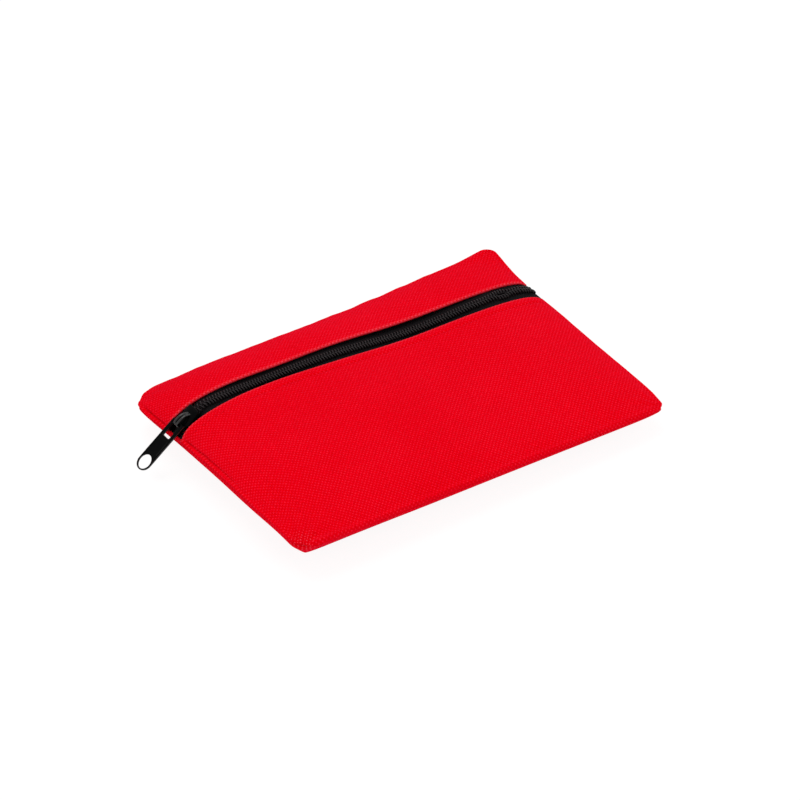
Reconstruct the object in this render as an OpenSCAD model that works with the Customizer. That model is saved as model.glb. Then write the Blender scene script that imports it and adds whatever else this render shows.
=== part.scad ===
// First aid kit: a flat zipped cloth pouch and the first aid supplies packed in it.
// Millimetres. X runs along the zip, Y from front to back, Z up from the resting surface.

/* [Pouch] */
// Length over the side seams
pouch_l = 170; // [168:1:176]
// Width over the front and back seams
pouch_w = 120; // [118:1:126]
// Height of the perimeter seam above the resting surface
seam_z = 13; // [12.5:0.25:13.5]
// Thickness of the woven cloth
cloth_t = 0.7; // [0.5:0.05:0.8]
// How far each side is drawn in between the corners
side_draw = 1.5; // [0:0.25:2.5]
// How much of each corner is rounded off
corner_cut = 4; // [2:0.5:6]
// Width of the turned up rim of the back panel
rim_w = 24; // [23:0.5:25]
// Swell of the front panel above its fold, as a share of its height
belly = 0.06; // [0:0.01:0.12]
// Gap between the upper panels and the back panel along the seam
seam_gap = 0.3; // [0.2:0.05:0.5]

/* [Seam binding] */
// Thickness of the binding tape
bind_t = 1; // [0.6:0.1:1.4]
// Gap between the binding and the back panel
bind_gap = 0.35; // [0.3:0.05:0.5]
// Where the binding starts, as a share of the rim from the seam
bind_from = 0.14; // [0.12:0.01:0.18]
// Where the binding ends, as a share of the rim from the seam
bind_to = 0.34; // [0.3:0.02:0.4]

/* [Zip] */
// Distance from the chain to the back seam
zip_back = 32; // [30:0.5:34]
// Radius of the arch that the chain follows
zip_r = 800; // [700:10:900]
// X of the highest point of the arch
zip_top_x = -30; // [-34:1:-28]
// Height of the upper face of the tape above the seam at the highest point
zip_rise = 10.6; // [10.4:0.1:11.4]
// X where the chain bends down to the left seam
bend_x = -71.8; // [-72:0.1:-71.5]
// Slope of the chain below that bend
ramp_slope = 38; // [36:0.5:39]
// Width of one tape from the chain centre
tape_w = 11; // [9:0.5:11.5]
// Thickness of the tape
tape_t = 0.5; // [0.3:0.05:0.6]
// Distance from the tape's flat length to the right seam
tape_short = 7; // [6.5:0.25:8]
// Drop of the tape's outer edge below the chain
tape_droop = 0.8; // [0.6:0.1:1.2]
// Distance from the chain centre to each panel fold
mouth_gap = 4.4; // [4.2:0.1:5]
// Gap between the tape and the hem sewn to it
hem_gap = 0.2; // [0.1:0.05:0.3]
// Pitch of the coil
coil_pitch = 1.27; // [1.25:0.01:1.4]
// Height of the coil above the tape
coil_h = 1.9; // [1.7:0.05:2]
// Half of the chain width
coil_w = 2.1; // [2:0.05:2.2]
// Thickness of one coil turn along the chain
turn_t = 0.5; // [0.4:0.02:0.54]
// How far a turn reaches past the chain centre
turn_reach = 0.42; // [0.3:0.02:0.45]

/* [Slider] */
// X of the slider with the zip closed
slider_x = -76.5; // [-76.5:0.25:-75]
// Width of the slider at its shoulders
slider_w = 7.4; // [7.2:0.1:7.8]
// Length of the slider
slider_l = 9.8; // [9.6:0.1:10]
// Thickness of the upper and the lower shield
shield_t = 1; // [0.8:0.1:1.1]
// Gap between the shields and the chain or tape
shield_gap = 0.25; // [0.2:0.05:0.35]
// Width of the bridge over the tab
bridge_w = 2; // [1.6:0.1:2.4]
// Height of the bridge above the upper shield
bridge_h = 2.7; // [2.6:0.1:3]
// Bar thickness of the bridge
bridge_t = 0.65; // [0.5:0.05:0.7]

/* [Pull tab] */
// Length from the pivot to the far end
tab_l = 23; // [20:0.5:23]
// Width of the tab
tab_w = 7.3; // [7:0.1:7.6]
// Thickness of the tab
tab_t = 1.1; // [0.9:0.05:1.1]
// Hole diameter at the far end
tab_hole_d = 6; // [5:0.1:6.2]
// Length of the eye window
eye_l = 6.5; // [6.2:0.1:7]
// Width of the eye window
eye_w = 3.8; // [3.7:0.1:4.2]
// Depth of the recess on each face
tab_recess = 0.2; // [0.1:0.05:0.3]
// Angle at which the tab hangs below the level
tab_droop = 37.5; // [30:0.5:37.5]

/* [Packed supplies] */
// Gap left under and between packed pieces
lay_gap = 0.1; // [0.1:0.05:0.2]
// Height of the leaflet above the flat of the back panel, where its edges lie on the rim
leaflet_rise = 1; // [0.9:0.05:1.2]
// Length of the folded leaflet
leaflet_l = 126; // [100:2:130]
// Width of the folded leaflet
leaflet_w = 82; // [70:2:84]
// Thickness of the folded leaflet
leaflet_t = 0.8; // [0.4:0.1:0.9]
// Width of the pressed bandage roll
roll_w = 28; // [24:1:28]
// Height of the pressed bandage roll
roll_h = 15; // [11:0.5:15]
// Length of the bandage roll
roll_l = 50; // [40:1:50]
// Centre of the bandage roll
roll_at = [-58, -6];
// Outer diameter of the tape spool
spool_d = 26; // [22:1:26]
// Height of the tape spool
spool_h = 11; // [8:0.5:11]
// Bore of the tape spool
spool_bore = 15; // [12:0.5:15]
// Centre of the tape spool
spool_at = [-30.5, 8];
// Length of a wrapped plaster
plaster_l = 72; // [60:1:72]
// Width of a wrapped plaster
plaster_w = 17; // [15:0.5:17]
// Thickness of a wrapped plaster
plaster_t = 0.8; // [0.6:0.1:0.9]
// Number of plasters
plaster_n = 6; // [6:6]
// Centre of the plasters
plaster_at = [46, 3];
// Length of a compress packet
compress_l = 54; // [44:1:54]
// Width of a compress packet
compress_w = 33; // [28:1:33]
// Thickness of a compress packet
compress_t = 2.1; // [1.6:0.1:2.2]
// Centre of the compress packets
compress_at = [40, 6];
// Length of a wipe sachet
sachet_l = 48; // [40:1:48]
// Width of a wipe sachet
sachet_w = 30; // [26:1:30]
// Thickness of a wipe sachet
sachet_t = 1.1; // [0.9:0.1:1.2]
// Length of the folded gauze pad
pad_l = 36; // [30:1:36]
// Width of the folded gauze pad
pad_w = 26; // [22:1:26]
// Thickness of the folded gauze pad
pad_t = 3.2; // [2.4:0.2:3.4]
// Centre of the gauze pad
pad_at = [46, -29];

/* [Scissors] */
// Pivot of the scissors
pivot_at = [16, -22];
// Length from the pivot to the tips
blade_l = 38; // [32:1:38]
// Thickness of one blade
blade_t = 1; // [0.8:0.05:1]
// Radius of the pivot bore
bore_r = 1.55; // [1.4:0.05:1.7]
// Radial clearance of the rivet and gap between the blades
pivot_gap = 0.05; // [0.03:0.01:0.08]
// Radius of the rivet heads
rivet_head_r = 2.6; // [2.3:0.1:2.8]
// Height of a rivet head
rivet_head_h = 0.5; // [0.4:0.05:0.5]
// Outer radius of a finger loop
loop_r = 10.6; // [10.2:0.1:10.8]
// Inner radius of a finger loop
loop_hole_r = 7.8; // [7:0.1:8]
// Height of the grips
grip_h = 3; // [2.8:0.1:3]
// Gap between a tang and its grip
tang_gap = 0.05; // [0.03:0.01:0.1]

/* [Safety pins] */
// Length of a safety pin
pin_l = 28; // [24:1:28]
// Distance between the two wires of a pin
pin_w = 5; // [4.5:0.25:5.5]
// Wire diameter
wire_d = 0.9; // [0.7:0.05:1]
// Length of the cap
cap_l = 5; // [4:0.25:5.5]
// X of each safety pin
pin_x = [-36, -28];
// Y of the middle of the pins
pin_y = -27; // [-28:0.5:-26]

/* [Hidden] */

cloth_red = [0.85, 0.02, 0.09];
black = [0.06, 0.06, 0.07];
steel = [0.75, 0.76, 0.78];
paper = [0.95, 0.95, 0.93];
round_fn = 64;

half_l = pouch_l / 2;
half_w = pouch_w / 2;
zip_y = half_w - zip_back;
zip_top_z = seam_z + zip_rise;
upper_z = seam_z + seam_gap / 2;
lower_z = seam_z - seam_gap / 2;
// The fold of each upper panel is a hem of two layers, sewn on top of the tape.
hem_t = 2 * cloth_t;
fold_rise = hem_t + hem_gap;
// Number of grid steps along the zip, across the front panel and across the rear panel
steps_u = 24;
steps_front = 12;
steps_rear = 8;
// Number of steps along a side of the seam loop, and across the rim
steps_side = 14;
steps_rim = 5;
// How sharply the panels drop to the side seams, beside the zip and at the far seams
end_firm = 16;
end_soft = 7;

// Outline of the seam: v and u run from -1 to 1 along the side and along the front.
function edge_x(v) = half_l - corner_cut * pow(abs(v), 14) - side_draw * pow(1 - v * v, 2);
function edge_y(u) = half_w - corner_cut * pow(abs(u), 20) - side_draw * pow(1 - u * u, 2);
// Arch of the zip: height of the tape, and its slope down towards the right.
function arc_z(x) = zip_top_z - zip_r + sqrt(zip_r * zip_r - pow(x - zip_top_x, 2));
function arc_angle(x) = asin((x - zip_top_x) / zip_r);
// Grid steps, closer together at the seams.
function spread(i, n) = sin(90 * (2 * i / n - 1));
function crowd(j, n) = 1 - cos(90 * j / n);
// Share of the fold's height reached at t, from 0 at the far seam to 1 at the fold.
function rise_front(t) = pow(1 - pow(1 - t, 3.2), 0.65) + belly * sin(180 * t);
function rise_rear(t) = pow(1 - pow(1 - t, 2.2), 0.8);
function end_fade(u, t) = sqrt(max(0, 1 - pow(abs(u), end_soft + (end_firm - end_soft) * t)));
function fold_height(x) = arc_z(x) + fold_rise - upper_z;
// A point of the outer face of an upper panel: side is -1 for the front one, 1 for the rear one.
function panel_y(u, t, side) = side * edge_y(u) + (zip_y + side * mouth_gap - side * edge_y(u)) * t;
function panel_rise(t, side) = side < 0 ? rise_front(t) : rise_rear(t);
function panel_point(u, t, side) =
    let (y = panel_y(u, t, side))
    let (x = u * edge_x(y / half_w))
    [x, y, upper_z + fold_height(x) * end_fade(u, t) * panel_rise(t, side)];
function unit(p) = p / norm(p);
// Upward normal of the outer face, from differences over a small step of the grid.
function panel_normal(u, t, side) =
    let (h = 0.001)
    let (du = panel_point(min(1, u + h), t, side) - panel_point(max(-1, u - h), t, side))
    let (dt = panel_point(u, min(1, t + h), side) - panel_point(u, max(0, t - h), side))
    unit(cross(du, dt) * -side);
// Cloth thickness: the hem beside the zip has two layers.
function panel_t(t) = t > 0.85 ? hem_t : cloth_t;
// A point of the inner face. Along the seam it lies level with the outer one.
function panel_inner(u, t, side) =
    abs(u) > 0.999 && t < 0.001 ? panel_point(u, t, side) + cloth_t * [-sign(u), -side, 0]
    : abs(u) > 0.999 ? panel_point(u, t, side) + cloth_t * [-sign(u), 0, 0]
    : t < 0.001 ? panel_point(u, t, side) + cloth_t * [0, -side, 0]
    : let (p = panel_point(u, t, side) - panel_t(t) * panel_normal(u, t, side))
    [p.x, p.y, max(p.z, upper_z)];
function quad(a, b, c, d, flip) = flip ? [[a, d, c], [a, c, b]] : [[a, b, c], [a, c, d]];
// Faces of a shell between an outer and an inner grid of (nu + 1) by (nt + 1) points.
function shell_faces(nu, nt, flip) =
    let (w = nt + 1)
    let (n = (nu + 1) * w)
    concat(
        [for (i = [0:nu - 1]) for (j = [0:nt - 1])
            each quad(i * w + j, i * w + j + 1, (i + 1) * w + j + 1, (i + 1) * w + j, flip)],
        [for (i = [0:nu - 1]) for (j = [0:nt - 1])
            each quad(n + i * w + j, n + (i + 1) * w + j, n + (i + 1) * w + j + 1, n + i * w + j + 1, flip)],
        [for (i = [0:nu - 1]) each quad(i * w, (i + 1) * w, n + (i + 1) * w, n + i * w, flip)],
        [for (i = [0:nu - 1])
            each quad((i + 1) * w + nt, i * w + nt, n + i * w + nt, n + (i + 1) * w + nt, flip)],
        [for (j = [0:nt - 1]) each quad(j + 1, j, n + j, n + j + 1, flip)],
        [for (j = [0:nt - 1])
            each quad(nu * w + j, nu * w + j + 1, n + nu * w + j + 1, n + nu * w + j, flip)]
    );

module upper_panel(side, nt) {
    us = [for (i = [0:steps_u]) spread(i, steps_u)];
    ts = [for (j = [0:nt]) crowd(j, nt)];
    outer = [for (u = us) for (t = ts) panel_point(u, t, side)];
    inner = [for (u = us) for (t = ts) panel_inner(u, t, side)];
    polyhedron(concat(outer, inner), shell_faces(steps_u, nt, side > 0));
}

// Seam loop, counted round from the front left corner.
function front_row(u, side) = [u * edge_x(edge_y(u) / half_w), side * edge_y(u)];
function side_row(v, side) = [side * edge_x(v * edge_y(1) / half_w), v * edge_y(1)];
seam_loop = concat(
    [for (i = [0:steps_u - 1]) front_row(spread(i, steps_u), -1)],
    [for (i = [0:steps_side - 1]) side_row(spread(i, steps_side), 1)],
    [for (i = [0:steps_u - 1]) front_row(-spread(i, steps_u), 1)],
    [for (i = [0:steps_side - 1]) side_row(-spread(i, steps_side), -1)]
);
loop_n = len(seam_loop);
function flat_point(p) = [p.x * (1 - rim_w / half_l), p.y * (1 - rim_w / half_w)];
// A point of the rim's outer face: f runs from 0 at the seam to 1 at the flat.
function rim_point(p, f) =
    let (q = p + (flat_point(p) - p) * f)
    [q.x, q.y, lower_z * pow(1 - f, 2)];
// The same point raised by a height above the outer face, square to it.
function rim_raised(p, f, h) =
    let (inward = flat_point(p) - p)
    let (slope = 2 * lower_z * (1 - f) / norm(inward))
    let (d = unit(inward))
    f < 0.001 ? rim_point(p, 0) + h * [d.x, d.y, 0]
    : rim_point(p, f) + h * unit([d.x * slope, d.y * slope, 1]);

module back_panel() {
    w = steps_rim + 1;
    n = loop_n * w;
    outer = [for (p = seam_loop) for (r = [0:steps_rim]) rim_point(p, r / steps_rim)];
    inner = [for (p = seam_loop) for (r = [0:steps_rim]) rim_raised(p, r / steps_rim, cloth_t)];
    next = [for (k = [0:loop_n - 1]) (k + 1) % loop_n];
    walls = [for (k = [0:loop_n - 1]) for (r = [0:steps_rim - 1]) each concat(
        quad(k * w + r, next[k] * w + r, next[k] * w + r + 1, k * w + r + 1, false),
        quad(n + k * w + r, n + k * w + r + 1, n + next[k] * w + r + 1, n + next[k] * w + r, false)
    )];
    edge = [for (k = [0:loop_n - 1]) each quad(next[k] * w, k * w, n + k * w, n + next[k] * w, false)];
    underside = [for (k = [0:loop_n - 1]) k * w + steps_rim];
    floor_side = [for (k = [loop_n - 1:-1:0]) n + k * w + steps_rim];
    color(cloth_red) polyhedron(concat(outer, inner), concat(walls, edge, [underside, floor_side]));
}

module front_panel() {
    color(cloth_red) upper_panel(-1, steps_front);
}

module rear_panel() {
    color(cloth_red) upper_panel(1, steps_rear);
}

module seam_binding() {
    low = cloth_t + bind_gap;
    corners = [[bind_from, low], [bind_to, low], [bind_to, low + bind_t], [bind_from, low + bind_t]];
    points = [for (p = seam_loop) for (c = corners) rim_raised(p, c[0], c[1])];
    faces = [for (k = [0:loop_n - 1]) for (c = [0:3])
        let (m = (k + 1) % loop_n)
        let (e = (c + 1) % 4)
        each quad(k * 4 + c, m * 4 + c, m * 4 + e, k * 4 + e, false)];
    color(black) polyhedron(points, faces);
}

// Zip: pieces drawn on the arch.
zip_fn = 720;
// Inner edge of the tapes where the chain is closed, and beside the slider's post
tape_in = 0.5;
split_in = 1.7;
// The tapes are narrow near their ends, so that they pass between the panels' folds.
mouth_w = mouth_gap - 0.3;
wide_x = 0.73 * half_l;
nose = -0.54 * slider_l;
post_back = -0.1 * slider_l;
part_x = slider_x + post_back * cos(ramp_slope) + tape_t * sin(ramp_slope);
tape_x1 = half_l - tape_short;
coil_x0 = bend_x + 0.2;
coil_x1 = tape_x1 - 0.6;
tail_x = edge_x(zip_y / half_w) - cloth_t - 0.2;
tail_z = upper_z + 0.1;
// Overlap and inset of the wing and the ends of a tape, where they run into its middle
tape_lap = 0.5;
tape_inset = 0.05;
// Distance along X from the foot of the ramp to the tape's end
ramp_foot = 1.3;

module arc_sweep(x0, x1) {
    translate([zip_top_x, zip_y, zip_top_z - zip_r])
        rotate([90, 0, 0])
            rotate([0, 0, 90 - arc_angle(x1)])
                rotate_extrude(angle = arc_angle(x1) - arc_angle(x0), $fn = zip_fn)
                    children();
}

module on_zip(x) {
    translate([x, zip_y, arc_z(x)])
        rotate([0, arc_angle(x), 0])
            children();
}

module on_ramp(x) {
    translate([x, zip_y, ramp_z(x)])
        rotate([0, -ramp_slope, 0])
            children();
}

// Profile of one tape beside the chain, measured from the chain centre towards one side.
module tape_profile(side) {
    polygon([
        [zip_r, -side * tape_in], [zip_r, -side * mouth_w],
        [zip_r - tape_t, -side * mouth_w], [zip_r - tape_t, -side * tape_in]
    ]);
}

// Profile of the wing that is sewn under the hem.
module wing_profile(side) {
    top = zip_r - tape_inset;
    base = zip_r - tape_t + tape_inset;
    polygon([
        [top, -side * (mouth_w - tape_lap)], [top, -side * mouth_w], [top - tape_droop, -side * tape_w],
        [base - tape_droop, -side * tape_w], [base, -side * mouth_w], [base, -side * (mouth_w - tape_lap)]
    ]);
}

// A point of the arch by x, and of the ramp by distance below the bend, at a depth under the upper face.
function arc_point(x, depth) = [x - depth * sin(arc_angle(x)), arc_z(x) - depth * cos(arc_angle(x))];
ramp_top = arc_point(bend_x, tape_inset);
ramp_l = (tail_x - ramp_foot + ramp_top.x) / cos(ramp_slope);
function ramp_point(d, depth) =
    ramp_top + d * [-cos(ramp_slope), -sin(ramp_slope)] + depth * [sin(ramp_slope), -cos(ramp_slope)];
function ramp_z(x) = ramp_top.y + (x - ramp_top.x) * tan(ramp_slope);

// The end of a tape: an outline in X and Z, as wide as the tape is between the folds.
module tape_end(side, outline) {
    width = mouth_w - tape_in - 2 * tape_inset;
    translate([0, zip_y + side * (mouth_w + tape_in) / 2 + width / 2, 0])
        rotate([90, 0, 0])
            linear_extrude(width)
                polygon(outline);
}

// The tape runs under the slider on the ramp, and drops to the seam at both ends. On the nose side of
// the slider's post it has a gap, where the chain has not met.
module zip_tape(side) {
    deep = tape_t - tape_inset;
    miter = tape_t * tan((ramp_slope + arc_angle(bend_x)) / 2);
    last = tape_x1 - tape_lap;
    left_end = [
        arc_point(bend_x + tape_lap, tape_inset), ramp_top, ramp_point(ramp_l, 0), [-tail_x, tail_z],
        [tape_t - tail_x, tail_z], ramp_point(ramp_l, tape_t), ramp_point(miter, tape_t),
        arc_point(bend_x + tape_lap, deep)
    ];
    right_end = [
        arc_point(last, deep), [tail_x - tape_t, tail_z], [tail_x, tail_z],
        arc_point(tape_x1, tape_inset), arc_point(last, tape_inset)
    ];
    color(black)
        difference() {
            union() {
                arc_sweep(bend_x, tape_x1) tape_profile(side);
                arc_sweep(-wide_x, wide_x) wing_profile(side);
                tape_end(side, left_end);
                tape_end(side, right_end);
            }
            translate([-half_l, zip_y - split_in, 0])
                cube([half_l + part_x, 2 * split_in, 2 * zip_top_z]);
        }
}

// One row of the coil: a spine on the tape and a turn at every pitch, meshing with the other row.
module zip_coil(side) {
    lift = 0.05;
    spine_in = 1.15;
    lap = 0.1;
    count = floor((coil_x1 - coil_x0) / coil_pitch) - 1;
    color(black) {
        arc_sweep(coil_x0, coil_x1)
            polygon([
                [zip_r + lift, -side * spine_in], [zip_r + lift, -side * coil_w],
                [zip_r + coil_h, -side * coil_w], [zip_r + coil_h, -side * spine_in]
            ]);
        for (k = [0:count])
            on_zip(coil_x0 + coil_pitch * (k + (side < 0 ? 0.75 : 0.25)))
                translate([-turn_t / 2, side < 0 ? -spine_in - lap : -turn_reach, lift])
                    cube([turn_t, spine_in + lap + turn_reach, coil_h - lift]);
    }
}

module zip_tape_front() {
    zip_tape(-1);
}

module zip_tape_rear() {
    zip_tape(1);
}

module zip_coil_front() {
    zip_coil(-1);
}

module zip_coil_rear() {
    zip_coil(1);
}

// Slider: drawn from the tape's upper face, nose towards the left.
shield_z = coil_h + shield_gap;
shield_top = shield_z + shield_t;
base_z = -tape_t - shield_gap - shield_t;
tail_end = slider_l + nose;
pin_r = tab_t / 2;
pivot_local = [nose + bridge_t + 0.15 + pin_r, shield_top + 1.05];
pivot_x = slider_x + pivot_local.x * cos(ramp_slope) - pivot_local.y * sin(ramp_slope);
pivot_z = ramp_z(slider_x) + pivot_local.x * sin(ramp_slope) + pivot_local.y * cos(ramp_slope);

module shield() {
    half = slider_w / 2;
    side_points = [
        [nose, 0.33 * half], [nose + 0.8, 0.41 * half], [nose + 1.8, 0.7 * half], [nose + 3.1, half],
        [tail_end - 0.6, 0.86 * half], [tail_end, 0.7 * half]
    ];
    linear_extrude(shield_t)
        polygon(concat(side_points, [for (i = [5:-1:0]) [side_points[i].x, -side_points[i].y]]));
}

module slider_flange(side) {
    half = side * slider_w / 2;
    wall = side * 0.7;
    lip_z = 0.45;
    translate([0, 0, lip_z])
        linear_extrude(shield_z - lip_z + shield_t / 2)
            polygon([
                [nose + 3.1, half], [tail_end - 0.6, 0.86 * half],
                [tail_end - 0.6, 0.86 * half - wall], [nose + 3.1, half - wall]
            ]);
}

module slider_post() {
    translate([0, 0, base_z + shield_t / 2])
        linear_extrude(shield_top - base_z - shield_t)
            polygon([
                [nose + 0.5, 0], [nose + 1.9, 1.1], [post_back - 0.8, 0.5], [post_back - 0.3, 0],
                [post_back - 0.8, -0.5], [nose + 1.9, -1.1]
            ]);
}

module slider_bridge() {
    foot = 7.2;
    top = shield_top + bridge_h;
    start = shield_top - shield_t / 2;
    translate([0, bridge_w / 2, 0])
        rotate([90, 0, 0])
            linear_extrude(bridge_w)
                difference() {
                    polygon([
                        [nose, start], [nose, top - 0.8], [nose + 0.8, top], [nose + 3.4, top],
                        [nose + foot, shield_top + 0.7], [nose + foot, start]
                    ]);
                    polygon([
                        [nose + bridge_t, shield_top], [nose + bridge_t, top - 0.8 - bridge_t / 2],
                        [nose + bridge_t + 0.5, top - bridge_t], [nose + 3.3, top - bridge_t],
                        [nose + foot - 1.4, shield_top]
                    ]);
                }
}

module slider_body() {
    color(black)
        on_ramp(slider_x) {
            translate([0, 0, shield_z]) shield();
            translate([0, 0, base_z]) shield();
            slider_flange(-1);
            slider_flange(1);
            slider_post();
            slider_bridge();
        }
}

// Pull tab: a round bar under the bridge, two arms round the eye window, and a paddle with a hole.
module pull_tab() {
    arm_w = (tab_w - eye_w) / 2;
    paddle_x = eye_l + pin_r;
    end_r = tab_w / 2;
    recess_l = tab_l - tab_w - paddle_x - 2.6;
    color(black)
        translate([pivot_x, zip_y, pivot_z])
            rotate([0, -tab_droop, 0])
                rotate([0, 0, 180])
                    difference() {
                        union() {
                            rotate([90, 0, 0])
                                cylinder(h = tab_w, r = pin_r, center = true, $fn = round_fn);
                            for (s = [-1, 1])
                                translate([0, s * (eye_w + arm_w) / 2 - arm_w / 2, -tab_t / 2])
                                    cube([paddle_x + 0.1, arm_w, tab_t]);
                            translate([paddle_x, -tab_w / 2, -tab_t / 2])
                                cube([tab_l - end_r - paddle_x, tab_w, tab_t]);
                            translate([tab_l - end_r, 0, 0])
                                cylinder(h = tab_t, r = end_r, center = true, $fn = round_fn);
                        }
                        translate([tab_l - end_r, 0, 0])
                            cylinder(h = 3 * tab_t, d = tab_hole_d, center = true, $fn = round_fn);
                        for (s = [-1, 1])
                            translate([paddle_x + 1.3, -tab_w / 2 + 1, s * tab_t / 2 - tab_recess])
                                cube([recess_l, tab_w - 2, 2 * tab_recess]);
                    }
}

// Packed supplies, in layers on the back panel.
floor_z = cloth_t + leaflet_rise;
lay_z = floor_z + leaflet_t + lay_gap;
compress_z = lay_z + 2 * (compress_t + lay_gap);
plaster_z = compress_z + 2 * (sachet_t + lay_gap);
scissors_z = lay_z + rivet_head_h + lay_gap;
pad_z = scissors_z + 2 * blade_t + pivot_gap + rivet_head_h + lay_gap;

// A flat packet with cut corners, by centre, size and height.
module packet(at, l, w, z, t, corner) {
    x = l / 2;
    y = w / 2;
    translate([at.x, at.y, z])
        linear_extrude(t)
            polygon([
                [-x + corner, -y], [x - corner, -y], [x, -y + corner], [x, y - corner],
                [x - corner, y], [-x + corner, y], [-x, y - corner], [-x, -y + corner]
            ]);
}

module leaflet() {
    color(paper) packet([0, 0], leaflet_l, leaflet_w, floor_z, leaflet_t, 1);
}

module bandage_roll() {
    sides = 40;
    color(paper)
        translate([roll_at.x, roll_at.y + roll_l / 2, lay_z + roll_h / 2])
            rotate([90, 0, 0])
                linear_extrude(roll_l)
                    polygon([for (i = [0:sides - 1])
                        [roll_w / 2 * cos(360 * i / sides), roll_h / 2 * sin(360 * i / sides)]]);
}

spool_wall = 1.2;
spool_core_r = spool_bore / 2 + spool_wall;
spool_flange_t = 0.9;

module tape_spool() {
    r = spool_d / 2;
    color(paper)
        translate([spool_at.x, spool_at.y, lay_z])
            rotate_extrude($fn = round_fn)
                polygon([
                    [spool_bore / 2, 0], [r, 0], [r, spool_flange_t], [spool_core_r, spool_flange_t],
                    [spool_core_r, spool_h - spool_flange_t], [r, spool_h - spool_flange_t],
                    [r, spool_h], [spool_bore / 2, spool_h]
                ]);
}

module tape_winding() {
    wound_r = spool_d / 2 - 1;
    color(paper)
        translate([spool_at.x, spool_at.y, lay_z + spool_flange_t + lay_gap])
            difference() {
                cylinder(h = spool_h - 2 * (spool_flange_t + lay_gap), r = wound_r, $fn = round_fn);
                translate([0, 0, -1])
                    cylinder(h = spool_h + 2, r = spool_core_r + lay_gap / 2, $fn = round_fn);
            }
}

module plaster(i) {
    color(paper)
        packet(plaster_at, plaster_w, plaster_l, plaster_z + (i - 1) * (plaster_t + lay_gap), plaster_t, 0.8);
}

module compress_packet(i) {
    color(paper)
        packet(compress_at, compress_l, compress_w, lay_z + (i - 1) * (compress_t + lay_gap), compress_t, 1);
}

module wipe_sachet(i) {
    color(paper)
        packet(compress_at, sachet_l, sachet_w, compress_z + (i - 1) * (sachet_t + lay_gap), sachet_t, 0.8);
}

module gauze_pad() {
    color(paper) packet(pad_at, pad_l, pad_w, pad_z, pad_t, 1);
}

// Scissors: side is 1 for the half whose loop lies in front, -1 for the moving half.
loop_at = [-28, -11.3];
tang_angle = 18;
tang_l = 19.5;
tang_w = 4;

module tang(side, extra) {
    rotate([0, 0, 180 + side * tang_angle])
        translate([0, -tang_w / 2 - extra])
            square([tang_l + extra, tang_w + 2 * extra]);
}

module scissors_blade(side) {
    edge = [[1.3, -3.7], [8, -1.4], [blade_l, 0], [blade_l, 0.6], [10, 4], [1.3, 4.1]];
    order = side > 0 ? [0:5] : [5:-1:0];
    translate([pivot_at.x, pivot_at.y, scissors_z + (side > 0 ? 0 : blade_t + pivot_gap)])
        color(steel)
            linear_extrude(blade_t)
                difference() {
                    union() {
                        polygon([for (i = order) [edge[i].x, side * edge[i].y]]);
                        circle(r = 4.4, $fn = round_fn);
                        tang(side, 0);
                    }
                    circle(r = bore_r, $fn = round_fn);
                }
}

module scissors_grip(side) {
    stem_from = 12;
    stem_w = 6;
    level = (side > 0 ? 0 : blade_t + pivot_gap) - tang_gap;
    translate([pivot_at.x, pivot_at.y, scissors_z])
        color(black)
            difference() {
                translate([0, 0, -rivet_head_h])
                    linear_extrude(grip_h)
                        difference() {
                            union() {
                                translate([loop_at.x, side * loop_at.y]) circle(r = loop_r, $fn = round_fn);
                                rotate([0, 0, 180 + side * tang_angle])
                                    translate([stem_from, -stem_w / 2])
                                        square([tang_l + 1.6 - stem_from, stem_w]);
                            }
                            translate([loop_at.x, side * loop_at.y]) circle(r = loop_hole_r, $fn = round_fn);
                        }
                translate([0, 0, level])
                    linear_extrude(blade_t + 2 * tang_gap)
                        tang(side, tang_gap);
            }
}

module scissors_rivet() {
    shank_r = bore_r - pivot_gap;
    stack = 2 * blade_t + pivot_gap;
    color(steel)
        translate([pivot_at.x, pivot_at.y, scissors_z])
            rotate_extrude($fn = round_fn)
                polygon([
                    [0, -rivet_head_h], [rivet_head_r, -rivet_head_h], [rivet_head_r, -pivot_gap / 2],
                    [shank_r, -pivot_gap / 2], [shank_r, stack + pivot_gap / 2],
                    [rivet_head_r, stack + pivot_gap / 2], [rivet_head_r, stack + rivet_head_h],
                    [0, stack + rivet_head_h]
                ]);
}

module scissors_blade_fixed() {
    scissors_blade(1);
}

module scissors_blade_moving() {
    scissors_blade(-1);
}

module scissors_grip_fixed() {
    scissors_grip(1);
}

module scissors_grip_moving() {
    scissors_grip(-1);
}

// Safety pin: a bent wire whose two ends sit in a cap.
cap_t = 2;
cap_gap = 0.05;

module safety_pin(i) {
    r = wire_d / 2;
    bend_r = pin_w / 2;
    straight = pin_l - bend_r - r - 1;
    color(steel)
        translate([pin_x[i - 1], pin_y, lay_z + cap_t / 2])
            union() {
                for (s = [-1, 1])
                    translate([s * bend_r, pin_l / 2 - 1 - straight, 0])
                        rotate([-90, 0, 0])
                            cylinder(h = straight, r = r, $fn = round_fn);
                translate([0, pin_l / 2 - 1 - straight, 0])
                    rotate([0, 0, 180])
                        rotate_extrude(angle = 180, $fn = round_fn)
                            translate([bend_r, 0])
                                circle(r = r, $fn = 24);
            }
}

module safety_pin_cap(i) {
    cap_w = pin_w + wire_d + 1.4;
    color(steel)
        difference() {
            translate([pin_x[i - 1], pin_y + pin_l / 2 - cap_l, lay_z])
                linear_extrude(cap_t)
                    polygon([
                        [-cap_w / 2, 0], [cap_w / 2, 0], [cap_w / 2, cap_l - 1.5], [cap_w / 2 - 1.5, cap_l],
                        [1.5 - cap_w / 2, cap_l], [-cap_w / 2, cap_l - 1.5]
                    ]);
            for (s = [-1, 1])
                translate([pin_x[i - 1] + s * pin_w / 2, pin_y + pin_l / 2 - 0.9, lay_z + cap_t / 2])
                    rotate([90, 0, 0])
                        cylinder(h = cap_l, r = wire_d / 2 + cap_gap, $fn = round_fn);
        }
}

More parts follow.
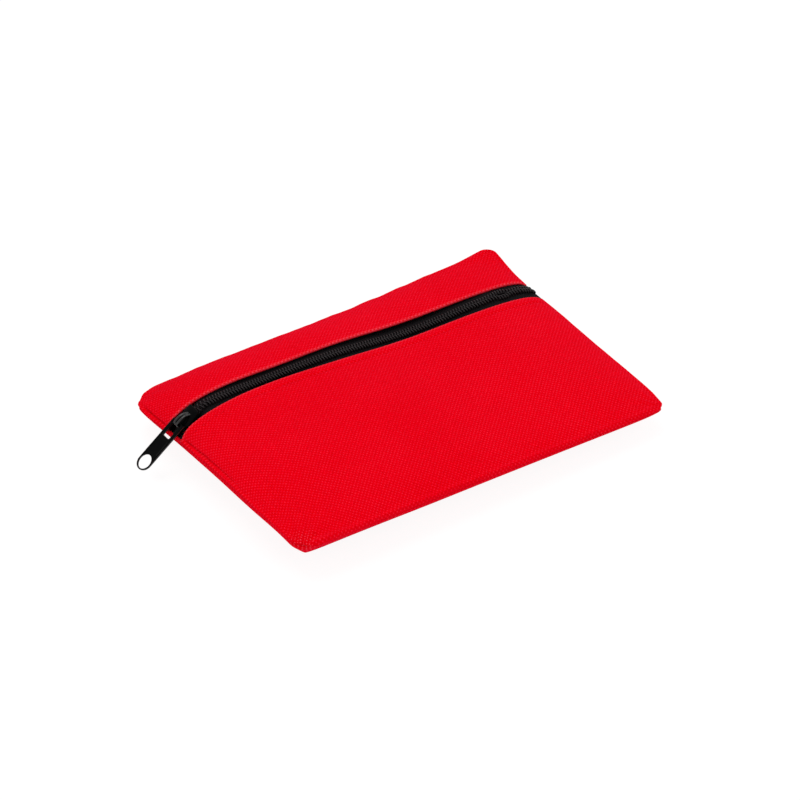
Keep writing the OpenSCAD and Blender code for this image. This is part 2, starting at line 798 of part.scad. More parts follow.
back_panel();
front_panel();
rear_panel();
seam_binding();
zip_tape_front();
zip_tape_rear();
zip_coil_front();
zip_coil_rear();
slider_body();
pull_tab();
leaflet();
bandage_roll();
tape_spool();
tape_winding();
for (i = [1:plaster_n])
    plaster(i);
for (i = [1:2])
    compress_packet(i);
for (i = [1:2])
    wipe_sachet(i);
gauze_pad();
scissors_blade_fixed();
scissors_grip_fixed();
scissors_rivet();
scissors_blade_moving();
scissors_grip_moving();
for (i = [1:2])
    safety_pin(i);
for (i = [1:2])
    safety_pin_cap(i);
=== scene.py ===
"""First aid kit: a flat zipped pouch of red woven cloth and the supplies packed in it.

Lengths are millimetres while a shape is worked out, and metres once it is a mesh.
X runs along the zip, Y from front to back, Z up from the resting surface.
"""

import logging
import math
from dataclasses import dataclass, field
from enum import Enum
from functools import cached_property
from typing import Optional, Sequence, Union

import bmesh
import bpy
import numpy as np
from mathutils import Matrix


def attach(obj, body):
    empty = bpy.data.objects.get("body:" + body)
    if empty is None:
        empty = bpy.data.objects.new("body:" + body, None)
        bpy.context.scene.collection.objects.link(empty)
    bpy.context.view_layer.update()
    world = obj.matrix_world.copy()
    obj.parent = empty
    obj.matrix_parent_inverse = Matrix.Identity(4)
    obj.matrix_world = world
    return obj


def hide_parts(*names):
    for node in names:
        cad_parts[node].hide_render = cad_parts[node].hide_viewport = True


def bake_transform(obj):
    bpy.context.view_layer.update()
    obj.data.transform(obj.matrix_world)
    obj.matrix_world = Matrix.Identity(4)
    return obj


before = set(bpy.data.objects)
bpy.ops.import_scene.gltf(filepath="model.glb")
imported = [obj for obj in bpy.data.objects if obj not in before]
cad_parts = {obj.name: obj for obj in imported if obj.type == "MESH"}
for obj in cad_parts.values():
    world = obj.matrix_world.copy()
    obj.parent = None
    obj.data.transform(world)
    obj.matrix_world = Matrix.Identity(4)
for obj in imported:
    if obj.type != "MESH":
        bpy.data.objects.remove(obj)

MM = 0.001
LOG = logging.getLogger("first_aid_kit")

Array = np.ndarray
Piece = bpy.types.Object
Material = bpy.types.Material
Socket = bpy.types.NodeSocket
Value = Union[Socket, float, Sequence[float]]
Pair = tuple[float, float]
Triple = tuple[float, float, float]
Quad = tuple[float, float, float, float]
Colour = Triple

ALONG = np.array([1.0, 0.0, 0.0])
ACROSS = np.array([0.0, 1.0, 0.0])
UP = np.array([0.0, 0.0, 1.0])
WHITE = (1.0, 1.0, 1.0, 1.0)
SECOND_FINISH = 1


class Side(Enum):
    """The two halves of the pouch's top, in front of the zip and behind it."""

    FRONT = -1
    REAR = 1


class Body(str, Enum):
    """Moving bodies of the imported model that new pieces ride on."""

    POUCH = "pouch"
    SLIDER = "slider"
    TAB = "tab"
    FLAP = "front_flap"


class Slot(str, Enum):
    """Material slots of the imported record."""

    CLOTH = "red_cloth"
    WEBBING = "black_webbing"
    NYLON = "black_nylon"
    ENAMEL = "black_enamel"
    PAPER = "white_paper"
    GAUZE = "white_gauze"
    WRAPPER = "white_wrapper"
    FOIL = "foil_wrapper"


def unit(vectors: Array) -> Array:
    """Vectors scaled to length 1, along the last axis."""
    length = np.linalg.norm(vectors, axis=-1, keepdims=True)
    return vectors / np.maximum(length, 1e-12)


def spread(count: int) -> Array:
    """Steps from -1 to 1 that lie closer together at both ends: the sine of an even sweep."""
    return np.sin(np.linspace(-np.pi / 2, np.pi / 2, count))


def shares(count: int) -> Array:
    """Steps from 0 to 1 that lie closer together at both ends."""
    return (spread(count) + 1) / 2


def smooth_step(value: Array, low: float, high: float) -> Array:
    """0 below low, 1 above high, and a smooth cubic between."""
    t = np.clip((value - low) / (high - low), 0.0, 1.0)
    return t * t * (3.0 - 2.0 * t)


def band(value: Array, start: float, full: float, fall: float, end: float) -> Array:
    """0 up to start, 1 from full to fall, 0 again past end, and smooth cubics between."""
    return smooth_step(value, start, full) * smooth_step(-value, -end, -fall)


def bell(value: Array, middle: float, width: float) -> Array:
    """Gaussian: 1 at the middle, and 1 / e at one width from it."""
    return np.exp(-((value - middle) / width) ** 2)


def decay(value: Array, length: float) -> Array:
    """Exponential: 1 at 0, and 1 / e at one length."""
    return np.exp(-value / length)


def round_over(distance: Array, radius: Union[float, Array]) -> Array:
    """Quarter circle: 0 at distance 0, 1 from one radius on."""
    return np.sqrt(1.0 - (1.0 - np.clip(distance / radius, 0.0, 1.0)) ** 2)


def chaikin(points: Array, rounds: int) -> Array:
    """Open line with its corners cut at a quarter and three quarters of each length.

    Args:
        points: corner points, one row each.
        rounds: how often the corners are cut.

    Returns:
        The rounded line, with both ends kept.
    """
    for _ in range(rounds):
        early = 0.75 * points[:-1] + 0.25 * points[1:]
        late = 0.25 * points[:-1] + 0.75 * points[1:]
        middle = np.stack([early, late], axis=1).reshape(-1, points.shape[1])
        points = np.concatenate([points[:1], middle, points[-1:]])
    return points


def run_length(grid: Array, axis: int) -> Array:
    """Distance along one axis of a grid of points, from its first row."""
    steps = np.linalg.norm(np.diff(grid, axis=axis), axis=-1)
    return np.insert(np.cumsum(steps, axis=axis), 0, 0.0, axis=axis)


def border(along: Array, across: Array) -> Array:
    """Distance from the nearest border of a grid, from the distances along its two axes."""
    ends = np.minimum(along, along[-1:] - along)
    return np.minimum(ends, np.minimum(across, across[:, -1:] - across))


def at_run(spots: Array, run: Array, line: Array) -> Array:
    """Points at wanted spots along a line, by straight steps between its points, which lie at its run."""
    return np.stack([np.interp(spots, run, column) for column in line.T], -1)


def even_line(line: Array, count: int) -> tuple[Array, Array]:
    """A line's points at even distances, and the distance of each from the first.

    Args:
        line: points, one row each.
        count: how many points are wanted.

    Returns:
        The points, and their distances.
    """
    run = run_length(line[:, None], 0)[:, 0]
    even = np.linspace(0, run[-1], count)
    return at_run(even, run, line), even


def grid_of(*parts: Union[float, Array]) -> Array:
    """Arrays spread over each other's shapes and stacked along a last axis, such as X, Y and Z."""
    return np.stack(np.broadcast_arrays(*parts), -1)


def grid_normals(grid: Array) -> Array:
    """Unit normals of a grid of points, from the differences along its two axes."""
    return unit(np.cross(np.gradient(grid, axis=0), np.gradient(grid, axis=1)))


def grid_quads(index: Array, wrap: bool = False) -> Array:
    """Quads of a grid of point numbers.

    Args:
        index: point numbers in rows and columns.
        wrap: whether the last column joins the first.

    Returns:
        Four point numbers a row.
    """
    if wrap:
        index = np.concatenate([index, index[:, :1]], axis=1)
    corners = [index[:-1, :-1], index[1:, :-1], index[1:, 1:], index[:-1, 1:]]
    return np.stack(corners, axis=-1).reshape(-1, 4)


@dataclass
class Surface:
    """One piece in the making: points in millimetres, faces, flat coordinates and finish numbers."""

    points: list[Array] = field(default_factory=list)
    faces: list[Array] = field(default_factory=list)
    flats: list[Array] = field(default_factory=list)
    inks: list[Array] = field(default_factory=list)
    count: int = 0

    def add_faces(self, faces: Array, first: int, ink: int = 0) -> None:
        """Adds faces with one finish number, whose point numbers count from the first point given."""
        self.faces.append(faces + first)
        self.inks.append(np.full(len(faces), ink))

    def add(self, points: Array, faces: Array, flat: Optional[Array] = None, ink: int = 0) -> None:
        """Adds points and the faces between them.

        Args:
            points: new points.
            faces: numbers of the new points, counted from 0, three or four a row.
            flat: two flat coordinates a point, in millimetres.
            ink: number of the finish on these faces.
        """
        points = points.reshape(-1, 3)
        flat = points[:, :2] if flat is None else flat.reshape(-1, 2)
        self.points.append(points)
        self.flats.append(flat)
        self.add_faces(faces, self.count, ink)
        self.count += len(points)

    def add_shell(self, middle: Array, normal: Array, half: Array, flat: Optional[Array] = None,
                  inner_ink: int = 0) -> "Surface":
        """Adds a closed shell: the grid moved out and in by half the thickness, joined at its border.

        Args:
            middle: grid of points in the middle of the thickness.
            normal: outward unit normals of the grid, or one for all of it.
            half: half the thickness at each point; the border is taken as 0.
            flat: two flat coordinates for each point.
            inner_ink: number of the finish on the inner faces.

        Returns:
            This surface.
        """
        rows, columns = middle.shape[:2]
        flat = middle[..., :2] if flat is None else flat
        inside = np.zeros((rows, columns), bool)
        inside[1:-1, 1:-1] = True
        half = np.where(inside, half, 0.0)[..., None]
        top = np.arange(rows * columns).reshape(rows, columns)
        low = top.copy()
        low[inside] = rows * columns + np.arange(inside.sum())
        outer, inner = middle + half * normal, middle - half * normal
        base = self.count
        points = np.concatenate([outer.reshape(-1, 3), inner[inside]])
        self.add(points, grid_quads(top), np.concatenate([flat.reshape(-1, 2), flat[inside]]))
        self.add_faces(grid_quads(low)[:, ::-1], base, inner_ink)
        return self

    def add_tubes(self, paths: Array, up: Array, radii: Pair, sides: int = 6) -> "Surface":
        """Adds capped tubes: an ellipse carried along each path.

        Args:
            paths: one path a row, each a line of points.
            up: a direction that isn't along the path, for one of the ellipse's axes.
            radii: radius across the up direction, and along it.
            sides: points round the ellipse.

        Returns:
            This surface.
        """
        tangent = unit(np.gradient(paths, axis=1))
        across = unit(np.cross(tangent, np.broadcast_to(up, paths.shape)))
        rise = np.cross(across, tangent)
        angle = np.linspace(0, 2 * np.pi, sides, endpoint=False)[:, None]
        ring = radii[0] * np.cos(angle) * across[:, :, None] + radii[1] * np.sin(angle) * rise[:, :, None]
        rings = paths[:, :, None] + ring
        number, length = paths.shape[:2]
        body = number * length * sides
        index = np.arange(body).reshape(number, length, sides)
        turned = np.concatenate([index, index[..., :1]], axis=2)
        corners = [turned[:, :-1, :-1], turned[:, 1:, :-1], turned[:, 1:, 1:], turned[:, :-1, 1:]]
        quads = np.stack(corners, axis=-1).reshape(-1, 4)
        ends = body + np.arange(2 * number).reshape(number, 2)
        first = grid_of(ends[:, :1], turned[:, 0, 1:], turned[:, 0, :-1])
        last = grid_of(ends[:, 1:], turned[:, -1, :-1], turned[:, -1, 1:])
        caps = np.concatenate([first.reshape(-1, 3), last.reshape(-1, 3)])
        tips = paths[:, [0, -1]].reshape(-1, 3)
        flat = grid_of(run_length(paths, 1)[..., None], angle[:, 0] * radii[0]).reshape(-1, 2)
        base = self.count
        self.add(np.concatenate([rings.reshape(-1, 3), tips]), quads,
                 np.concatenate([flat, np.zeros((len(tips), 2))]))
        self.add_faces(caps, base)
        return self

    def build(self, name: str, merge: float = 0.0) -> Piece:
        """Makes the mesh object, at the origin, with its faces outwards.

        Args:
            name: name of the piece.
            merge: points closer than this, in millimetres, become one.

        Returns:
            The new object, linked to the scene.
        """
        mesh = bpy.data.meshes.new(name)
        points = np.concatenate(self.points) * MM
        mesh.from_pydata(points.tolist(), [], [row for block in self.faces for row in block.tolist()])
        mesh.polygons.foreach_set("material_index", np.concatenate(self.inks).astype(np.int32))
        mesh.polygons.foreach_set("use_smooth", np.ones(len(mesh.polygons), bool))
        corner = np.zeros(len(mesh.loops), np.int32)
        mesh.loops.foreach_get("vertex_index", corner)
        flat = np.concatenate(self.flats)[corner].astype(np.float32)
        mesh.uv_layers.new(name="flat").data.foreach_set("uv", flat.ravel())
        work = bmesh.new()
        work.from_mesh(mesh)
        if merge:
            bmesh.ops.remove_doubles(work, verts=work.verts, dist=merge * MM)
        bmesh.ops.recalc_face_normals(work, faces=work.faces)
        work.to_mesh(mesh)
        work.free()
        piece = bpy.data.objects.new(name, mesh)
        bpy.context.scene.collection.objects.link(piece)
        return piece


class Nodes:
    """Node tree with short ways to add nodes and links."""

    def __init__(self, tree: bpy.types.NodeTree) -> None:
        """Starts with the tree emptied."""
        self.tree = tree
        self.tree.nodes.clear()

    def put(self, target: Socket, value: Value) -> None:
        """Links a socket to another one, or sets its own value.

        Args:
            target: the socket.
            value: the other socket, or the value.
        """
        if isinstance(value, Socket):
            self.tree.links.new(value, target)
        else:
            target.default_value = value

    def fill(self, node: bpy.types.Node, **values: Value) -> None:
        """Fills a node's sockets by name, with underscores for spaces."""
        for name, value in values.items():
            self.put(node.inputs[name.replace("_", " ")], value)

    def node(self, kind: str, **values: Value) -> bpy.types.Node:
        """Adds a node of a kind, named without its prefix, and fills its sockets.

        Args:
            kind: the kind.
            values: values of its sockets.

        Returns:
            The node.
        """
        node = self.tree.nodes.new(f"ShaderNode{kind}")
        self.fill(node, **values)
        return node

    def math(self, operation: str, *terms: Union[Socket, float], clamp: bool = False) -> Socket:
        """Result of one operation on one to three terms.

        Args:
            operation: Blender's name of the operation.
            terms: sockets or numbers.
            clamp: whether the result is kept between 0 and 1.

        Returns:
            The result.
        """
        node = self.node("Math")
        node.operation = operation
        node.use_clamp = clamp
        for target, term in zip(node.inputs, terms):
            self.put(target, term)
        return node.outputs[0]


class Graph(Nodes):
    """Node tree of one material with one shader, and ways to add coordinates, noise and bumps."""

    COLOUR_INPUTS = (6, 7)
    COLOUR_OUTPUT = 2

    def __init__(self, name: str) -> None:
        """Starts a material with one shader.

        Args:
            name: name of the material.
        """
        self.material = bpy.data.materials.new(name)
        self.material.use_nodes = True
        super().__init__(self.material.node_tree)
        self.shader = self.node("BsdfPrincipled")
        self.node("OutputMaterial", Surface=self.shader.outputs["BSDF"])

    def blend(self, share: Socket, first: Union[Socket, Colour], second: Union[Socket, Colour]) -> Socket:
        """Mix of two colours by a share from 0 to 1.

        Args:
            share: share of the second colour.
            first: colour at 0.
            second: colour at 1.

        Returns:
            The mixed colour.
        """
        node = self.node("Mix")
        node.data_type = "RGBA"
        self.put(node.inputs[0], share)
        for number, value in zip(self.COLOUR_INPUTS, (first, second)):
            is_socket = isinstance(value, Socket)
            self.put(node.inputs[number], value if is_socket else (*value, 1.0))
        return node.outputs[self.COLOUR_OUTPUT]

    def flat(self) -> tuple[Socket, Socket]:
        """The piece's own two flat coordinates, in millimetres.

        Returns:
            Both coordinates.
        """
        source = self.node("UVMap")
        source.uv_map = "flat"
        parts = self.node("SeparateXYZ", Vector=source.outputs[0])
        return parts.outputs[0], parts.outputs[1]

    def noise(self, scale: float, detail: float, stretch: Sequence[float] = (1.0, 1.0, 1.0)) -> Socket:
        """Noise on object coordinates, with scale in waves a metre."""
        mapping = self.node("Mapping", Vector=self.node("TexCoord").outputs["Object"], Scale=stretch)
        return self.node("TexNoise", Vector=mapping.outputs[0], Scale=scale, Detail=detail).outputs[0]

    def near(self, spot: Sequence[float], reach: float) -> Socket:
        """Share that falls from 1 at a spot to 0 at a reach from it, both in millimetres.

        Args:
            spot: where the share is 1.
            reach: how far off it is 0.

        Returns:
            The share.
        """
        node = self.node("VectorMath")
        node.operation = "DISTANCE"
        self.put(node.inputs[0], self.node("TexCoord").outputs["Object"])
        self.put(node.inputs[1], [value * MM for value in spot])
        return self.math("MULTIPLY_ADD", node.outputs["Value"], -1.0 / (reach * MM), 1.0, clamp=True)

    def sine(self, value: Socket, pitch: float) -> Socket:
        """Sine of a length that turns over once a pitch, so that two pitches make a wave."""
        return self.math("SINE", self.math("MULTIPLY", value, math.pi / pitch))

    def bump(self, height: Socket, distance: float) -> None:
        """Bump on the shader, with distance in millimetres."""
        node = self.node("Bump", Strength=1.0, Distance=distance * MM, Height=height)
        self.fill(self.shader, Normal=node.outputs[0])


@dataclass(frozen=True)
class Finish:
    """A finish that several pieces can share: its material is made when it is first asked for."""

    name: str

    def make(self) -> Material:
        """Makes the material; each kind of finish has its own way."""
        raise NotImplementedError

    @cached_property
    def material(self) -> Material:
        """The finish's one material."""
        return self.make()


@dataclass(frozen=True)
class WovenFinish(Finish):
    """Plain weave: yarns that pass over and under each other at one pitch, seen as a field of dots."""

    low: Colour
    high: Colour
    pitch: Pair
    depth: float
    roughness: float
    gloss: float = 0.0
    fuzz: float = 0.35
    ease: float = 1.0
    fibre_scale: float = 1300.0
    fibre_detail: float = 2.0
    patch_scale: float = 28.0
    patch_detail: float = 3.0
    # Shape of the yarns' crowns: the power that rounds them, the step from yarn to yarn, and loose fibres
    crown_power: float = 0.6
    crown_step: float = 0.35
    crown_fuzz: float = 0.7
    # Painted highlight: its colour, and gain and offset of its share on the crowns, along the fold and near a
    # spot at the front left corner
    light: Optional[Colour] = None
    crown_light: Pair = (4.0, -3.0)
    fold_light: Pair = (-0.5, 0.7)
    corner_highlight_gain: Pair = (0.9, 0.16)
    corner_highlight_at: Triple = (0.0, 0.0, 0.0)
    corner_highlight_reach: float = 0.0
    sheen: float = 0.0
    sheen_roughness: float = 0.4
    sheen_tint: Quad = (1.0, 0.3, 0.9, 1.0)

    def painted_highlight_share(self, g: Graph, tone: Socket, across: Socket) -> Socket:
        """Share of the painted highlight: on the crowns of the yarns, more so near the front left corner, and
        along the fold.

        Args:
            g: the material in the making.
            tone: lightness of the weave.
            across: the second flat coordinate, which is 0 at the fold.

        Returns:
            The share.
        """
        # Painted highlight on the yarns' crowns, stronger near the front left corner, and along the edge of
        # the fold
        crown = g.math("MULTIPLY_ADD", tone, *self.crown_light, clamp=True)
        wear_and_highlight = g.math("MULTIPLY_ADD", across, *self.fold_light, clamp=True)
        corner_highlight = g.math("MULTIPLY_ADD", g.near(self.corner_highlight_at, self.corner_highlight_reach), *self.corner_highlight_gain)
        return g.math("ADD", g.math("MULTIPLY", crown, corner_highlight), g.math("MULTIPLY", wear_and_highlight, tone))

    def make(self) -> Material:
        """Returns the material: the product of two sines gives the yarns, noise breaks them up.

        Returns:
            The material.
        """
        g = Graph(self.name)
        along, across = g.flat()
        weave = g.math("MULTIPLY", g.sine(along, self.pitch[0]), g.sine(across, self.pitch[1]))
        fine = g.math("SUBTRACT", g.noise(self.fibre_scale, self.fibre_detail), 0.5)
        broad = g.math("SUBTRACT", g.noise(self.patch_scale, self.patch_detail), 0.5)
        tone = g.math("MULTIPLY_ADD", weave, 0.5 * self.ease, 0.5)
        tone = g.math("ADD", tone, g.math("MULTIPLY", fine, 2.0 * self.fuzz))
        tone = g.math("ADD", tone, g.math("MULTIPLY", broad, self.fuzz), clamp=True)
        colour = g.blend(tone, self.low, self.high)
        # Painted highlight blended over the weave's colour
        if self.light:
            colour = g.blend(self.painted_highlight_share(g, tone, across), colour, self.light)
        crown = g.math("POWER", g.math("ABSOLUTE", weave), self.crown_power)
        crown = g.math("ADD", crown, g.math("MULTIPLY", weave, self.crown_step))
        crown = g.math("ADD", crown, g.math("MULTIPLY", fine, self.crown_fuzz))
        g.bump(crown, self.depth)
        g.fill(g.shader, Base_Color=colour, Roughness=self.roughness, Specular_IOR_Level=self.gloss,
               Sheen_Weight=self.sheen, Sheen_Roughness=self.sheen_roughness, Sheen_Tint=self.sheen_tint)
        return g.material


@dataclass(frozen=True)
class MouldedFinish(Finish):
    """Smooth moulded, enamelled or drawn surface with a fine grain and slight wear."""

    colour: Colour
    # Colour of the worn patches
    wear_and_highlight: Colour
    roughness: float
    grain: float
    scale: float = 900.0
    stretch: Triple = (1.0, 1.0, 1.0)
    metallic: float = 0.0
    gloss: float = 0.5
    wear_scale: float = 160.0
    wear: Pair = (2.4, -0.9)
    uneven: float = 0.16
    detail: float = 3.0

    def make(self) -> Material:
        """Returns the material: noise sets the grain, the wear and the gloss.

        Returns:
            The material.
        """
        g = Graph(self.name)
        grain = g.noise(self.scale, self.detail, self.stretch)
        patch = g.math("MULTIPLY_ADD", g.noise(self.wear_scale, self.detail), *self.wear, clamp=True)
        rough = g.math("MULTIPLY_ADD", grain, self.uneven, self.roughness - self.uneven / 2)
        g.bump(grain, self.grain)
        g.fill(g.shader, Base_Color=g.blend(patch, self.colour, self.wear_and_highlight), Roughness=rough,
               Metallic=self.metallic, Specular_IOR_Level=self.gloss)
        return g.material


@dataclass(frozen=True)
class WrapperFinish(Finish):
    """Sealed paper or foil: a fibre grain and soft creases."""

    colour: Colour
    shade: Colour
    roughness: float
    crease: float
    metallic: float = 0.0
    fibre: float = 0.12
    fibre_scale: float = 700.0
    fibre_stretch: Triple = (1.0, 2.2, 1.0)
    fold_scale: float = 95.0
    detail: float = 4.0
    depth: float = 0.4

    def make(self) -> Material:
        """Returns the material: stretched noise gives fibres, broad noise the creases.

        Returns:
            The material.
        """
        g = Graph(self.name)
        fibre = g.noise(self.fibre_scale, self.detail, self.fibre_stretch)
        fold = g.noise(self.fold_scale, self.detail)
        height = g.math("ADD", g.math("MULTIPLY", fold, self.crease), g.math("MULTIPLY", fibre, self.fibre))
        g.bump(height, self.depth)
        g.fill(g.shader, Base_Color=g.blend(fold, self.shade, self.colour), Roughness=self.roughness,
               Metallic=self.metallic)
        return g.material


# light is the colour of the painted highlight on the yarns' crowns, along the folds and at the front left
# corner
CLOTH = WovenFinish("red_cloth", low=(0.7, 0.0, 0.001), high=(0.893, 0.0, 0.0125), pitch=(0.85, 0.85),
                    depth=0.16, roughness=0.75, light=(0.94, 0.08, 0.12), corner_highlight_at=(-82.0, -57.5, 15.5),
                    corner_highlight_reach=9.0, sheen=0.05)
COATING = WovenFinish("red_cloth_coated_side", low=(0.52, 0.001, 0.008), high=(0.62, 0.004, 0.014),
                      pitch=(0.85, 0.85), depth=0.05, roughness=0.5, gloss=0.1, fuzz=0.2, ease=0.35)
THREAD = WovenFinish("red_thread", low=(0.66, 0.0, 0.007), high=(0.86, 0.005, 0.02), pitch=(0.3, 0.35),
                     depth=0.06, roughness=0.6)
WEBBING = WovenFinish("black_webbing", low=(0.002, 0.002, 0.0025), high=(0.011, 0.009, 0.01),
                      pitch=(0.42, 0.55), depth=0.12, roughness=0.8, gloss=0.06)
GAUZE = WovenFinish("white_gauze", low=(0.66, 0.65, 0.6), high=(0.95, 0.94, 0.9), pitch=(0.6, 0.7),
                    depth=0.18, roughness=0.85, gloss=0.1)
NYLON = MouldedFinish("black_nylon", colour=(0.008, 0.005, 0.006), wear_and_highlight=(0.014, 0.009, 0.01),
                      roughness=0.4, grain=0.005, gloss=0.16)
ENAMEL = MouldedFinish("black_enamel", colour=(0.001, 0.001, 0.0011), wear_and_highlight=(0.0018, 0.0017, 0.0018),
                       roughness=0.25, grain=0.0015, gloss=0.03)
RUBBED = MouldedFinish("rubbed_enamel", colour=(0.003, 0.003, 0.0033), wear_and_highlight=(0.008, 0.0075, 0.0075),
                       roughness=0.17, grain=0.001, gloss=0.4)
BLACK_PLASTIC = MouldedFinish("black_plastic", colour=(0.012, 0.012, 0.014), wear_and_highlight=(0.022, 0.022, 0.024),
                              roughness=0.45, grain=0.03)
WHITE_PLASTIC = MouldedFinish("white_plastic", colour=(0.82, 0.82, 0.8), wear_and_highlight=(0.9, 0.9, 0.89),
                              roughness=0.4, grain=0.02)
STEEL = MouldedFinish("bright_steel", colour=(0.6, 0.61, 0.63), wear_and_highlight=(0.72, 0.73, 0.75), roughness=0.26,
                      grain=0.012, scale=1500.0, stretch=(0.15, 1.0, 1.0), metallic=1.0)
PAPER = WrapperFinish("white_paper", colour=(0.9, 0.9, 0.87), shade=(0.82, 0.82, 0.79), roughness=0.75,
                      crease=0.25)
WRAPPER = WrapperFinish("white_wrapper", colour=(0.92, 0.92, 0.9), shade=(0.8, 0.81, 0.8), roughness=0.5,
                        crease=0.6)
FOIL = WrapperFinish("foil_wrapper", colour=(0.82, 0.84, 0.85), shade=(0.6, 0.62, 0.64), roughness=0.3,
                     crease=0.8, metallic=0.85)


def dress(piece: Piece, *finishes: Finish) -> None:
    """Gives a new piece its materials, in the order of its finish numbers."""
    for finish in finishes:
        piece.data.materials.append(finish.material)


def label(piece: Piece, slot: Slot, *nodes: str) -> None:
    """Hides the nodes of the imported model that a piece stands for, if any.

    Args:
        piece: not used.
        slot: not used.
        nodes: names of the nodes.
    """
    if nodes:
        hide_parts(*nodes)


def place(piece: Piece, body: Body, slot: Slot, *nodes: str) -> None:
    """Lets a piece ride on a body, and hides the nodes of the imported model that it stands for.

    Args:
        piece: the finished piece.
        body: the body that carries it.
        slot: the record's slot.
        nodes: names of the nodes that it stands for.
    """
    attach(piece, body.value)
    label(piece, slot, *nodes)
    LOG.info("%s rides on %s", piece.name, body.value)


@dataclass(frozen=True)
class Mouth:
    """The pouch's mouth along the zip, whose front half gapes as the front flap lifts.

    The far seam and the fold are in metres.
    """

    left: float = -83.0
    right: float = 69.0
    left_power: float = 2.0
    right_power: float = 3.3
    seam_at: Triple = (0, -0.0594, 0.013)
    fold_at: Triple = (0, 0.0236, 0.025)

    def share(self, x: Array) -> Array:
        """Share of the flap's turn: a power, higher on the right, of 1 - q * q, with q from -1 to 1."""
        q = np.clip((2 * x - self.left - self.right) / (self.right - self.left), -1, 1)
        return (1 - q * q) ** np.where(q < 0, self.left_power, self.right_power)

    def place(self, piece: Piece, slot: Slot, *nodes: str) -> None:
        """Bakes the transform of a piece of the front half, reads its points, and hides the nodes that it
        stands for.

        Args:
            piece: the finished piece, at rest.
            slot: the record's slot.
            nodes: names of the nodes that it stands for.
        """
        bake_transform(piece)
        places = np.zeros(3 * len(piece.data.vertices), np.float32)
        piece.data.vertices.foreach_get("co", places)
        label(piece, slot, *nodes)
        LOG.info("%s opens with the mouth", piece.name)


@dataclass(frozen=True)
class Bump:
    """A Gaussian rise along one coordinate: its height, the place of its middle, and its width."""

    height: float
    middle: float
    width: float

    def at(self, value: Array) -> Array:
        """Height at each place."""
        return self.height * bell(value, self.middle, self.width)


@dataclass(frozen=True)
class SideLift:
    """Lift of one side seam: a Gaussian in Y that fades inwards as a power of the way to the seam."""

    height: float
    y: float
    width: float
    towards: int
    power: int = 6

    def share(self, u: Array, y: Array) -> Array:
        """Share of the lift from 0 to 1, with u from -1 to 1 between the side seams."""
        return bell(y, self.y, self.width) * np.clip(self.towards * u, 0, 1) ** self.power


